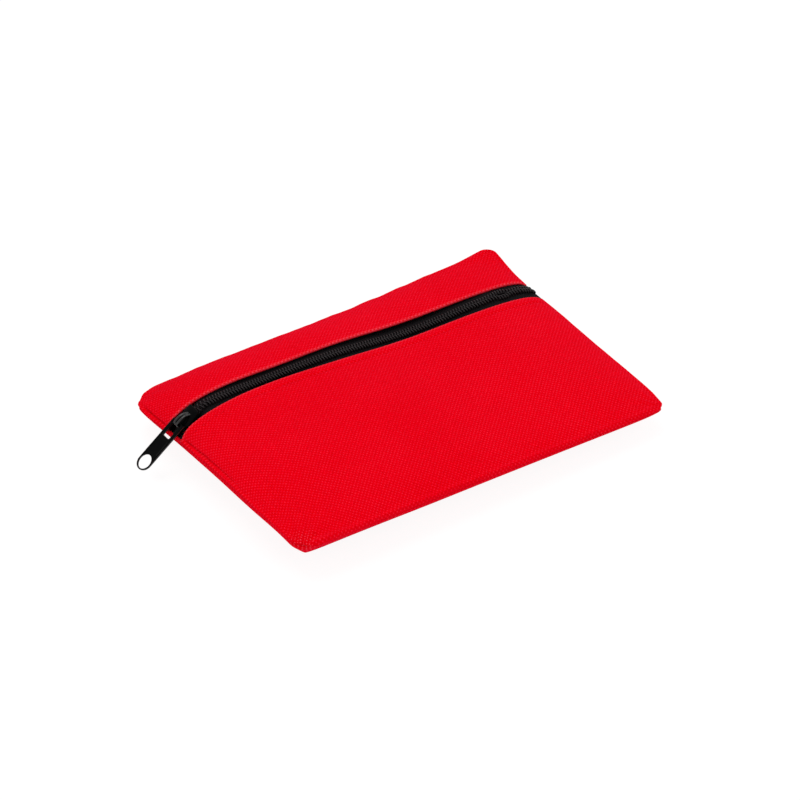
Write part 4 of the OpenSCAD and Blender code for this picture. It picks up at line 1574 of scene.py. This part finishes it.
@dataclass
class SliderBody:
    """The slider's body of enamelled metal: two shields, two walls, a post and the bridge over the tab.

    Its own X runs along the tape from the slider's middle, and its Z up from the tape's upper face.
    """

    shape: PouchShape
    at_x: float = -76.5
    ramp_z: float = 18.783
    ramp_slope: float = 38.0
    width: float = 7.4
    length: float = 9.8
    nose_share: float = 0.54
    # Outline of the shields: distance from the nose, or from the end, and share of the half width there
    nose_outline: Sequence[Pair] = ((0.0, 0.33), (0.8, 0.45), (1.8, 0.72), (3.1, 1.0))
    end_outline: Sequence[Pair] = ((0.6, 0.86), (0.0, 0.7))
    tip_shares: Pair = (0.3, 0.62)
    shield_t: float = 1.0
    shield_z: float = 2.15
    shield_crown: float = 0.28
    shield_r: float = 0.42
    crown_in: float = 1.6
    base_z: float = -1.75
    base_crown: float = -0.15
    shield_steps: tuple[int, int] = (49, 25)
    # Walls between the shields
    wall: float = 0.35
    wall_low: float = 0.45
    wall_in: float = 0.4
    wall_nose: float = 3.0
    wall_end: float = 0.5
    wall_steps: tuple[int, int] = (25, 9)
    # Post between the shields, and the bridge's two rails: points from nose and top, with shares of its width
    post_x: float = 1.9
    post_in: Pair = (0.3, 0.5)
    post_radii: Pair = (0.35, 1.0)
    bridge_w: float = 2.0
    bridge_h: float = 2.7
    bridge_t: float = 0.65
    bridge_low: float = 0.6
    bridge_foot: float = 6.8
    bridge_top: Sequence[Pair] = ((0.0, -1.0), (0.15, -0.2), (0.9, 0.0), (3.5, -0.05), (5.2, -0.9))
    crown_points: Sequence[int] = (3, 4)
    rail_off: float = 0.3
    rail_w: float = 0.27
    rail_bulge: float = 0.25
    bar_rounds: int = 3
    bar_sides: int = 14

    @property
    def nose(self) -> float:
        """X of the nose from the slider's middle."""
        return -self.nose_share * self.length

    @property
    def end(self) -> float:
        """X of the end where both rows leave the slider."""
        return self.length + self.nose

    def on_zip(self, points: Array) -> Array:
        """Points given from the tape's upper face at the slider, turned and set on the ramp.

        Args:
            points: the points.

        Returns:
            The points in place.
        """
        c, s = math.cos(math.radians(self.ramp_slope)), math.sin(math.radians(self.ramp_slope))
        x, y, z = points[..., 0], points[..., 1], points[..., 2]
        return np.stack([self.at_x + x * c - z * s, self.shape.zip_y + y, self.ramp_z + x * s + z * c], -1)

    def add_part(self, body: Surface, part: Surface, ink: int = 0) -> None:
        """Adds a part in the slider's own coordinates to the body, with one finish number.

        Args:
            body: the piece in the making.
            part: the part.
            ink: number of its finish.
        """
        base = body.count
        body.add(self.on_zip(np.concatenate(part.points)), part.faces[0], ink=ink)
        for faces in part.faces[1:]:
            body.add_faces(faces, base, ink)

    def add_shield(self, body: Surface, low: float, crown: float) -> None:
        """Adds a shield: a plate whose half width follows the slider's outline, crowned and round edged.

        Args:
            body: the piece in the making.
            low: height of its lower face.
            crown: how far the middle stands above the edges.
        """
        half = self.width / 2
        stations = [self.nose + at for at, _ in self.nose_outline]
        stations += [self.end - at for at, _ in self.end_outline]
        widths = [share for _, share in (*self.nose_outline, *self.end_outline)]
        steps, steps_across = self.shield_steps
        x = self.nose + self.length * shares(steps)[:, None]
        wide = half * np.interp(x, stations, widths)
        wide = (wide + np.roll(wide, 1, 0) + np.roll(wide, -1, 0)) / 3
        wide[0], wide[-1] = self.tip_shares[0] * half, self.tip_shares[1] * half
        share = spread(steps_across)[None, :]
        y = share * wide
        edge = np.minimum(wide - np.abs(y), np.minimum(x - self.nose, self.end - x))
        z = low + self.shield_t / 2 + crown * (1 - share ** 2) * smooth_step(edge, 0, self.crown_in)
        half_t = self.shield_t / 2 * round_over(edge, self.shield_r)
        self.add_part(body, Surface().add_shell(grid_of(x, y, z), UP, half_t))

    def add_wall(self, body: Surface, side: int) -> None:
        """Adds the wall between the shields on one side: a thin shell along the slider's edge.

        Args:
            body: the piece in the making.
            side: -1 in front, 1 behind.
        """
        half = self.width / 2
        steps, steps_up = self.wall_steps
        x = np.linspace(self.nose + self.wall_nose, self.end - self.wall_end, steps)[:, None]
        top = self.shield_z + self.wall_in
        z = self.wall_low + (top - self.wall_low) * shares(steps_up)[None, :]
        full_at, full = self.nose_outline[-1]
        less_at, less = self.end_outline[0]
        y = np.interp(x, [self.nose + full_at, self.end - less_at], [full * half, less * half]) - self.wall
        edge = np.minimum(np.minimum(x - x[0], x[-1] - x), z - z[:, :1])
        half_t = self.wall * round_over(edge, self.wall)
        self.add_part(body, Surface().add_shell(grid_of(x, side * y, z), side * ACROSS, half_t))

    def add_bar(self, body: Surface, line: Array, up: Array, radii: Pair, ink: int = 0) -> None:
        """Adds a bar with one finish number: an ellipse carried along a rounded line."""
        bar = Surface().add_tubes(chaikin(line, self.bar_rounds)[None], up, radii, self.bar_sides)
        self.add_part(body, bar, ink)

    def casting(self) -> Piece:
        """The whole body: shields, walls, post and bridge.

        Returns:
            The piece.
        """
        body = Surface()
        self.add_shield(body, self.shield_z, self.shield_crown)
        self.add_shield(body, self.base_z, self.base_crown)
        for side in (-1, 1):
            self.add_wall(body, side)
        post_x = self.nose + self.post_x
        post = np.array([[post_x, 0.0, self.base_z + self.post_in[0]],
                         [post_x, 0.0, self.shield_z + self.post_in[1]]])
        self.add_bar(body, post, ALONG, self.post_radii)
        top = self.shield_z + self.shield_t + self.bridge_h - self.bridge_t / 2
        low = self.shield_z + self.bridge_low
        nose = self.nose + self.bridge_t / 2
        arch = [[nose + x, 0.0, top + z] for x, z in self.bridge_top]
        arch = np.array([[nose, 0.0, low], *arch, [nose + self.bridge_foot, 0.0, low]])
        radii = (0.5 * self.bridge_t, self.rail_w * self.bridge_w)
        for side in (-1, 1):
            rail = arch + side * self.rail_off * self.bridge_w * ACROSS
            rail[list(self.crown_points), 1] += side * self.rail_bulge
            self.add_bar(body, rail, ACROSS, radii, SECOND_FINISH)
        return body.build("slider_casting")


@dataclass
class PullTab:
    """The pull tab of enamelled metal: a plate with an eye window at its pivot and a hole at its far end.

    Along the tab runs a, from the pivot; b runs across it and c square to its face.
    """

    shape: PouchShape
    pivot: Pair = (-82.1921, 19.6659)
    droop: float = 37.5
    length: float = 23.0
    width: float = 7.3
    thick: float = 1.1
    hole_r: float = 3.0
    eye: Triple = (0.55, 7.05, 1.9)
    eye_power: float = 7.0
    round_power: float = 2.0
    split: float = 10.5
    edge_r: float = 0.38
    # Recess inside the raised rim, and the rubbed edges
    recess: float = 0.2
    recess_in: Pair = (0.8, 1.05)
    recess_a: Quad = (8.2, 8.45, 15.1, 15.4)
    rubbed_share: float = 0.98
    rubbed_half: float = 0.2
    side_steps: int = 25
    arc_steps: int = 41
    ring_steps: int = 17
    merge: float = 0.001

    @property
    def half(self) -> float:
        """Half of the width, which is the radius of the far end too."""
        return self.width / 2

    @property
    def end(self) -> float:
        """Place along the tab of the far hole's middle."""
        return self.length - self.half

    @property
    def eye_mid(self) -> float:
        """Place along the tab of the eye window's middle."""
        return (self.eye[0] + self.eye[1]) / 2

    @property
    def eye_half(self) -> float:
        """Half length of the eye window."""
        return (self.eye[1] - self.eye[0]) / 2

    def on_tab(self, a: Array, b: Array, c: Array) -> Array:
        """Points of the tab: a along it from the pivot, b across, c square to its face.

        Args:
            a: place along it.
            b: place across it.
            c: height over its middle.

        Returns:
            The points.
        """
        turn = math.radians(self.droop)
        x = self.pivot[0] - a * math.cos(turn) - c * math.sin(turn)
        z = self.pivot[1] - a * math.sin(turn) + c * math.cos(turn)
        return grid_of(x, self.shape.zip_y + b, z)

    def half_thick(self, a: Array, b: Array) -> Array:
        """Half thickness of the tab: round at every edge, with a recess inside a raised rim.

        Args:
            a: place along it.
            b: place across it.

        Returns:
            The half thickness at each place.
        """
        far = np.hypot(a - self.end, b)
        straight = np.minimum(self.half - np.abs(b), a + self.thick / 2)
        outer = np.where(a < self.end, straight, self.half - far)
        window = np.maximum(np.abs(a - self.eye_mid) - self.eye_half, np.abs(b) - self.eye[2])
        edge = np.maximum(0.0, np.minimum(np.minimum(outer, window), far - self.hole_r))
        web = smooth_step(outer, *self.recess_in) * band(a, *self.recess_a)
        return self.thick / 2 * round_over(edge, self.edge_r) - self.recess * web

    def add_ring(self, tab: Surface, outer: Array, centre: float, radius: Pair, power: float) -> None:
        """Adds the part of the tab between an opening and an outline, both faces.

        The opening is a superellipse; each point of the outline is joined to the opening's point in the
        same direction by a straight row.

        Args:
            tab: the piece in the making.
            outer: closed outline, a and b in each row.
            centre: a of the opening's middle.
            radius: half length and half width of the opening.
            power: 2 for an ellipse, more for a rounded window.
        """
        turn = np.arctan2(outer[:, 1], outer[:, 0] - centre)
        steep = np.abs(np.cos(turn) / radius[0]) ** power + np.abs(np.sin(turn) / radius[1]) ** power
        reach = steep ** (-1 / power)
        inner = np.stack([centre + reach * np.cos(turn), reach * np.sin(turn)], -1)
        rows = inner + (outer - inner) * shares(self.ring_steps)[:, None, None]
        half = self.half_thick(rows[..., 0], rows[..., 1])
        quads = grid_quads(np.arange(half.size).reshape(half.shape), wrap=True)
        at_corners = half.ravel()[quads]
        rim = at_corners.max(axis=1) < self.rubbed_share * self.thick / 2 - self.recess
        rim = rim | (at_corners.min(axis=1) < self.rubbed_half)
        for face, corners in ((half, quads), (-half, quads[:, ::-1])):
            tab.add(self.on_tab(rows[..., 0], rows[..., 1], face), corners, rows)
            tab.inks[-1] = rim.astype(int)

    def side_line(self, start: float, end: float, b: float, count: int) -> Array:
        """Straight edge of the tab at one b, from start, which is left out, towards end."""
        a = start + (end - start) * shares(self.side_steps)[1:count + 1]
        return grid_of(a, b)

    def plate(self) -> Piece:
        """The plate, as two rings that meet at the split: round the eye window, and round the far hole.

        Returns:
            The piece.
        """
        split, half, end, steps = self.split, self.half, self.end, self.side_steps
        near_end = -self.thick / 2
        b = spread(steps) * half
        line = grid_of(split, b)
        up = self.side_line(split, near_end, half, steps - 1)
        top = grid_of(near_end, -b[1:])
        down = self.side_line(near_end, split, -half, steps - 2)
        tab = Surface()
        near_ring = np.concatenate([line, up, top, down])
        self.add_ring(tab, near_ring, self.eye_mid, (self.eye_half, self.eye[2]), self.eye_power)
        out = self.side_line(split, end, half, steps - 1)
        turn = np.linspace(np.pi / 2, -np.pi / 2, self.arc_steps)[1:]
        arc = np.stack([end + half * np.cos(turn), half * np.sin(turn)], -1)
        back = self.side_line(end, split, -half, steps - 2)
        far_ring = np.concatenate([line, out, arc, back])
        self.add_ring(tab, far_ring, end, (self.hole_r, self.hole_r), self.round_power)
        return tab.build("tab_plate", merge=self.merge)


@dataclass
class ZipSlider:
    """The slider body and its pull tab, in enamelled metal that is rubbed at its edges."""

    shape: PouchShape

    def build(self) -> None:
        """Builds, dresses and places the slider and its tab."""
        casting, tab = SliderBody(self.shape).casting(), PullTab(self.shape).plate()
        for piece in (casting, tab):
            dress(piece, ENAMEL, RUBBED)
        place(casting, Body.SLIDER, Slot.ENAMEL, "slider_body")
        place(tab, Body.TAB, Slot.ENAMEL, "pull_tab")


@dataclass(frozen=True)
class Packet:
    """A stack of like packets: place of the lowest over the leaflet, size, seals, and how they are laid."""

    seed: str
    spot: Triple
    size: Triple
    seal: float
    crimp: float
    count: int
    step: float
    turned: bool = False


@dataclass
class Supplies:
    """What the pouch holds: dressings in wrappers, bandage, tape, leaflet, scissors and pins."""

    floor_z: float = 1.7
    lay_z: float = 2.6
    plasters: Packet = Packet("plaster", spot=(46, 3, 6.8), size=(72, 17, 0.8), seal=2.2, crimp=0.05,
                              count=6, step=0.9, turned=True)
    compresses: Packet = Packet("compress", spot=(40, 6, 0.0), size=(54, 33, 2.1), seal=3.2, crimp=0.08,
                                count=2, step=2.2)
    wipes: Packet = Packet("wipe", spot=(40, 6, 4.4), size=(48, 30, 1.1), seal=3.0, crimp=0.06, count=2,
                           step=1.2)
    # Packets: how far the crown reaches in, half thickness of the seal, crimps, and the sag of the film
    packet_steps: tuple[int, int] = (61, 41)
    crown_in: float = 0.22
    seal_half: float = 0.11
    seal_less: float = 0.16
    seal_r: float = 0.12
    crimp_pitch: float = 1.3
    crimp_soft: float = 0.4
    sag: float = 0.12
    sag_wave: float = 16.0
    sag_in: float = 5.0
    sag_most: float = 0.05
    # Folded and wound strips: shares of a layer's thickness that are cloth, and steps of their grids
    fold_in: float = 0.15
    fold_share: float = 0.42
    fold_rounds: int = 4
    fold_steps: tuple[int, int] = (60, 21)
    wound_share: float = 0.46
    wound_pitch: float = 1.25
    wound_least: int = 3
    wound_steps: tuple[int, int] = (56, 17)
    # Rounding of solids that stay
    weld: float = 0.001
    bevel_steps: int = 2
    bevel_angle: float = 50.0

    def packet(self, kind: Packet, number: int) -> Surface:
        """A sealed packet: a crowned shell with flat sealed borders, crimped across its two ends.

        Args:
            kind: the stack that it belongs to.
            number: its place in the stack, from 0 at the bottom.

        Returns:
            The surface, ready to build.
        """
        length, width, thick = kind.size
        at_x, at_y, at_z = kind.spot
        steps, steps_across = self.packet_steps
        u, v = spread(steps)[:, None], spread(steps_across)[None, :]
        x, y = np.broadcast_arrays(u * length / 2, v * width / 2)
        edge = np.minimum(length / 2 - np.abs(x), width / 2 - np.abs(y))
        crown = np.sqrt(smooth_step(edge, kind.seal, kind.seal + self.crown_in * width))
        half = self.seal_half + (thick / 2 - self.seal_less) * crown
        seal_from = length / 2 - kind.seal
        ends = smooth_step(np.abs(x), seal_from, seal_from + self.crimp_soft)
        wave = kind.crimp * np.sin(2 * np.pi * y / self.crimp_pitch) * ends
        waves = Ripples(sum(map(ord, f"{kind.seed}{number}"))).height(x, y, self.sag_wave)
        sag = self.sag * waves * smooth_step(edge, 0, self.sag_in) * crown
        base = self.lay_z + at_z + kind.step * number
        z = base + thick / 2 + wave + np.clip(sag, -self.sag_most, self.sag_most)
        plan = (at_x - y, at_y + x) if kind.turned else (at_x + x, at_y + y)
        return Surface().add_shell(np.stack([*plan, z], -1), UP, half * round_over(edge, self.seal_r))

    def folded(self, at: Sequence[float], size: Sequence[float], layers: int, ply: float) -> Surface:
        """A strip folded to and fro: a zigzag line with round turns, carried across its width.

        Args:
            at: centre of the lower face.
            size: length, width and thickness of the folded stack.
            layers: how many layers lie on each other.
            ply: thickness of one layer.

        Returns:
            The surface, ready to build.
        """
        layer = np.arange(layers)
        gap = (size[2] - ply) / (layers - 1)
        level = np.repeat(layer, 2) * gap + ply / 2
        way = np.where(layer % 2 == 0, 1, -1)
        reach = size[0] / 2 - ply - self.fold_in * layer
        x = np.stack([-way * reach, way * reach], -1).ravel()
        line = chaikin(np.stack([x, level], -1), self.fold_rounds)
        steps, steps_across = self.fold_steps
        line, even = even_line(line, steps * layers)
        y = spread(steps_across)[None, :] * size[1] / 2
        grid = grid_of(at[0] + line[:, :1], at[1] + y, at[2] + line[:, 1:])
        edge = np.minimum(np.minimum(even, even[-1] - even)[:, None], size[1] / 2 - np.abs(y))
        half = ply * self.fold_share
        flat = grid_of(even[:, None], y)
        return Surface().add_shell(grid, grid_normals(grid), half * round_over(edge, half), flat)

    def wound(self, at: Sequence[float], radii: Sequence[float], core: float, width: float, ply: float,
              upright: bool) -> Surface:
        """A strip wound up: a spiral line from the core outwards, carried across the strip's width.

        Args:
            at: centre of the winding.
            radii: outer radius along X, and square to it.
            core: inner radius as a share of the outer one.
            width: width of the strip.
            ply: thickness of the strip, as shown.
            upright: whether the winding's axis is Z and not Y.

        Returns:
            The surface, ready to build.
        """
        steps, steps_across = self.wound_steps
        turns = max(self.wound_least, int((1 - core) * min(radii) / (self.wound_pitch * ply)))
        angle = np.linspace(0, 2 * np.pi * turns, steps * turns)[:, None]
        share = core + (1 - core) * angle / angle[-1]
        first = (radii[0] - ply) * share * np.cos(angle)
        second = (radii[1] - ply) * share * np.sin(angle)
        third = spread(steps_across)[None, :] * width / 2
        parts = (first, second, third) if upright else (first, third, second)
        grid = grid_of(*[a + p for a, p in zip(at, parts)])
        run = run_length(grid, 0)
        edge = np.minimum(np.minimum(run, run[-1:] - run), width / 2 - np.abs(third))
        half = ply * self.wound_share
        flat = grid_of(run, third)
        return Surface().add_shell(grid, grid_normals(grid), half * round_over(edge, half), flat)

    def lay(self, name: str, surface: Surface, finish: Finish, slot: Slot, node: str) -> None:
        """Builds a piece, dresses it and lays it in the pouch in the place of a node.

        Args:
            name: name of the piece.
            surface: its surface.
            finish: its finish.
            slot: the record's slot.
            node: the node that it stands for.
        """
        piece = surface.build(name)
        dress(piece, finish)
        place(piece, Body.POUCH, slot, node)

    def keep_node(self, node: str, finish: Finish, bevel: float = 0.0) -> None:
        """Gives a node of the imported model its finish, and rounds its edges.

        Args:
            node: name of the node.
            finish: its finish.
            bevel: width of the rounding in millimetres, or 0.
        """
        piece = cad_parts[node]
        for place_for in piece.material_slots:
            place_for.material = finish.material
        if bevel:
            weld = piece.modifiers.new("weld", "WELD")
            weld.merge_threshold = self.weld * MM
            rounding = piece.modifiers.new("rounding", "BEVEL")
            rounding.width = bevel * MM
            rounding.segments = self.bevel_steps
            rounding.limit_method = "ANGLE"
            rounding.angle_limit = math.radians(self.bevel_angle)
        LOG.info("%s keeps its solid", node)

    def build(self) -> None:
        """Builds, dresses and places every piece inside the pouch."""
        leaflet = self.folded((0, 0, self.floor_z), size=(126, 82, 0.8), layers=4, ply=0.14)
        self.lay("leaflet_paper", leaflet, PAPER, Slot.PAPER, "leaflet")
        bandage = self.wound((-58, -6, self.lay_z + 7.5), radii=(14, 7.5), core=0.12, width=50, ply=0.62,
                             upright=False)
        self.lay("bandage_gauze", bandage, GAUZE, Slot.GAUZE, "bandage_roll")
        tape = self.wound((-30.5, 8, self.lay_z + 5.5), radii=(12, 12), core=0.74, width=8.9, ply=0.3,
                          upright=True)
        self.lay("tape_coil", tape, GAUZE, Slot.GAUZE, "tape_winding")
        for kind, name, finish, slot, node in (
                (self.plasters, "plaster_wrapper", WRAPPER, Slot.WRAPPER, "plaster"),
                (self.compresses, "compress_wrapper", WRAPPER, Slot.WRAPPER, "compress_packet"),
                (self.wipes, "wipe_foil", FOIL, Slot.FOIL, "wipe_sachet")):
            for i in range(kind.count):
                self.lay(f"{name}_{i + 1}", self.packet(kind, i), finish, slot, f"{node}_{i + 1}")
        pad = self.folded((46, -29, self.lay_z + 3.25), size=(36, 26, 3.2), layers=6, ply=0.5)
        self.lay("folded_gauze", pad, GAUZE, Slot.GAUZE, "gauze_pad")
        self.keep_node("tape_spool", WHITE_PLASTIC, bevel=0.25)
        for half in ("fixed", "moving"):
            self.keep_node(f"scissors_grip_{half}", BLACK_PLASTIC, bevel=0.6)
            self.keep_node(f"scissors_blade_{half}", STEEL, bevel=0.12)
        self.keep_node("scissors_rivet", STEEL, bevel=0.2)
        for i in (1, 2):
            self.keep_node(f"safety_pin_{i}", STEEL)
            self.keep_node(f"safety_pin_cap_{i}", STEEL, bevel=0.3)


def stand(right: Array, up: Array, back: Array, spot: Array) -> Matrix:
    """World matrix of an object at a spot, from the directions of its three axes.

    Args:
        right: direction of its X.
        up: direction of its Y.
        back: direction of its Z.
        spot: place of its origin.

    Returns:
        The matrix.
    """
    matrix = np.eye(4)
    matrix[:3] = np.stack([right, up, back, spot], axis=1)
    return Matrix(matrix)


@dataclass(frozen=True)
class Lamp:
    """A soft square lamp: its name, where it stands, the length of its side, and its watts."""

    name: str
    spot: Triple
    size: float
    power: float


@dataclass
class Studio:
    """Pale floor, soft light and the camera at the photograph's angle, in metres, pixels and degrees."""

    azimuth: float = -34.2
    elevation: float = 37.3
    distance: float = 2.0
    scale: float = 2.6
    image: int = 800
    aim: Triple = (0.0, 0.0, 0.013)
    aim_pixel: Pair = (398.5, 400.4)
    sensor: float = 36.0
    clip: Pair = (0.05, 20.0)
    sky: float = 0.62
    floor_half: float = 2.5
    floor_colour: Quad = (0.9, 0.9, 0.9, 1.0)
    floor_glow: float = 1.06
    glow_share: float = 0.86
    lamp_up: Triple = (0.0, 1.0, 0.01)
    lamps: Sequence[Lamp] = (Lamp("key", (-0.1, 0.3, 1.3), size=0.8, power=7.4),
                             Lamp("fill", (0.9, -0.9, 0.9), size=0.9, power=4.0),
                             Lamp("side", (-1.1, -0.7, 0.2), size=0.8, power=4.0))

    def add_camera(self) -> None:
        """Sets a long lens so that the aim point falls on its pixel at the wanted scale, in pixels a mm."""
        data = bpy.data.cameras.new("camera")
        data.sensor_width = self.sensor
        data.lens = self.scale * self.distance / MM * self.sensor / self.image
        data.clip_start, data.clip_end = self.clip
        turn, rise = math.radians(self.azimuth), math.radians(self.elevation)
        back = np.array([math.sin(turn) * math.cos(rise), -math.cos(turn) * math.cos(rise), math.sin(rise)])
        right = np.array([math.cos(turn), math.sin(turn), 0.0])
        up = np.cross(back, right)
        pixel = MM / self.scale
        middle = self.image / 2
        target = np.array(self.aim) + right * (middle - self.aim_pixel[0]) * pixel
        target = target + up * (self.aim_pixel[1] - middle) * pixel
        camera = bpy.data.objects.new("camera", data)
        camera.matrix_world = stand(right, up, back, target + back * self.distance)
        bpy.context.scene.collection.objects.link(camera)
        bpy.context.scene.camera = camera

    def add_world(self) -> None:
        """An even white sky: plain light on the object, full white where it is seen."""
        world = bpy.data.worlds.new("studio")
        world.use_nodes = True
        nodes = Nodes(world.node_tree)
        rays = nodes.node("LightPath").outputs
        seen = nodes.math("MAXIMUM", rays["Is Camera Ray"], rays["Is Transmission Ray"])
        seen = nodes.math("MAXIMUM", seen, rays["Is Glossy Ray"])
        level = nodes.math("MULTIPLY_ADD", seen, 1.0 - self.sky, self.sky)
        sky = nodes.node("Background", Color=WHITE, Strength=level)
        nodes.node("OutputWorld", Surface=sky.outputs[0])
        bpy.context.scene.world = world

    def floor_finish(self) -> Material:
        """Pale matt finish that glows towards the camera, so that the floor is white with a soft shadow.

        Returns:
            The material.
        """
        material = bpy.data.materials.new("pale_floor")
        material.use_nodes = True
        nodes = Nodes(material.node_tree)
        rays = nodes.node("LightPath").outputs
        seen = nodes.math("MAXIMUM", rays["Is Camera Ray"], rays["Is Glossy Ray"])
        share = nodes.math("MULTIPLY", seen, self.glow_share)
        matt = nodes.node("BsdfDiffuse", Color=self.floor_colour)
        glow = nodes.node("Emission", Color=WHITE, Strength=self.floor_glow)
        mix = nodes.node("MixShader")
        for target, source in zip(mix.inputs, (share, matt.outputs[0], glow.outputs[0])):
            nodes.put(target, source)
        nodes.node("OutputMaterial", Surface=mix.outputs[0])
        return material

    def add_floor(self) -> None:
        """A large square floor at the height of the resting surface."""
        half = self.floor_half
        mesh = bpy.data.meshes.new("floor")
        corners = [(-half, -half, 0.0), (half, -half, 0.0), (half, half, 0.0), (-half, half, 0.0)]
        mesh.from_pydata(corners, [], [(0, 1, 2, 3)])
        mesh.materials.append(self.floor_finish())
        floor = bpy.data.objects.new("floor", mesh)
        bpy.context.scene.collection.objects.link(floor)

    def add_lamp(self, lamp: Lamp) -> None:
        """Adds a lamp that points at the object.

        Args:
            lamp: the lamp.
        """
        data = bpy.data.lights.new(lamp.name, "AREA")
        data.size = lamp.size
        data.energy = lamp.power
        back = unit(np.array(lamp.spot) - np.array(self.aim))
        right = unit(np.cross(np.array(self.lamp_up), back))
        light = bpy.data.objects.new(lamp.name, data)
        light.matrix_world = stand(right, np.cross(back, right), back, np.array(lamp.spot))
        bpy.context.scene.collection.objects.link(light)

    def build(self) -> None:
        """Sets up camera, world, floor and lamps."""
        self.add_camera()
        self.add_world()
        self.add_floor()
        for lamp in self.lamps:
            self.add_lamp(lamp)
        bpy.context.scene.view_settings.view_transform = "Standard"


def main() -> None:
    logging.basicConfig(level=logging.INFO)
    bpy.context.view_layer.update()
    Studio().build()
    shape = PouchShape()
    mouth = Mouth()
    PouchCloth(shape, mouth).build()
    ZipChain(shape, mouth).build()
    ZipSlider(shape).build()
    Supplies().build()
    bpy.context.view_layer.update()


if __name__ == "__main__":
    main()
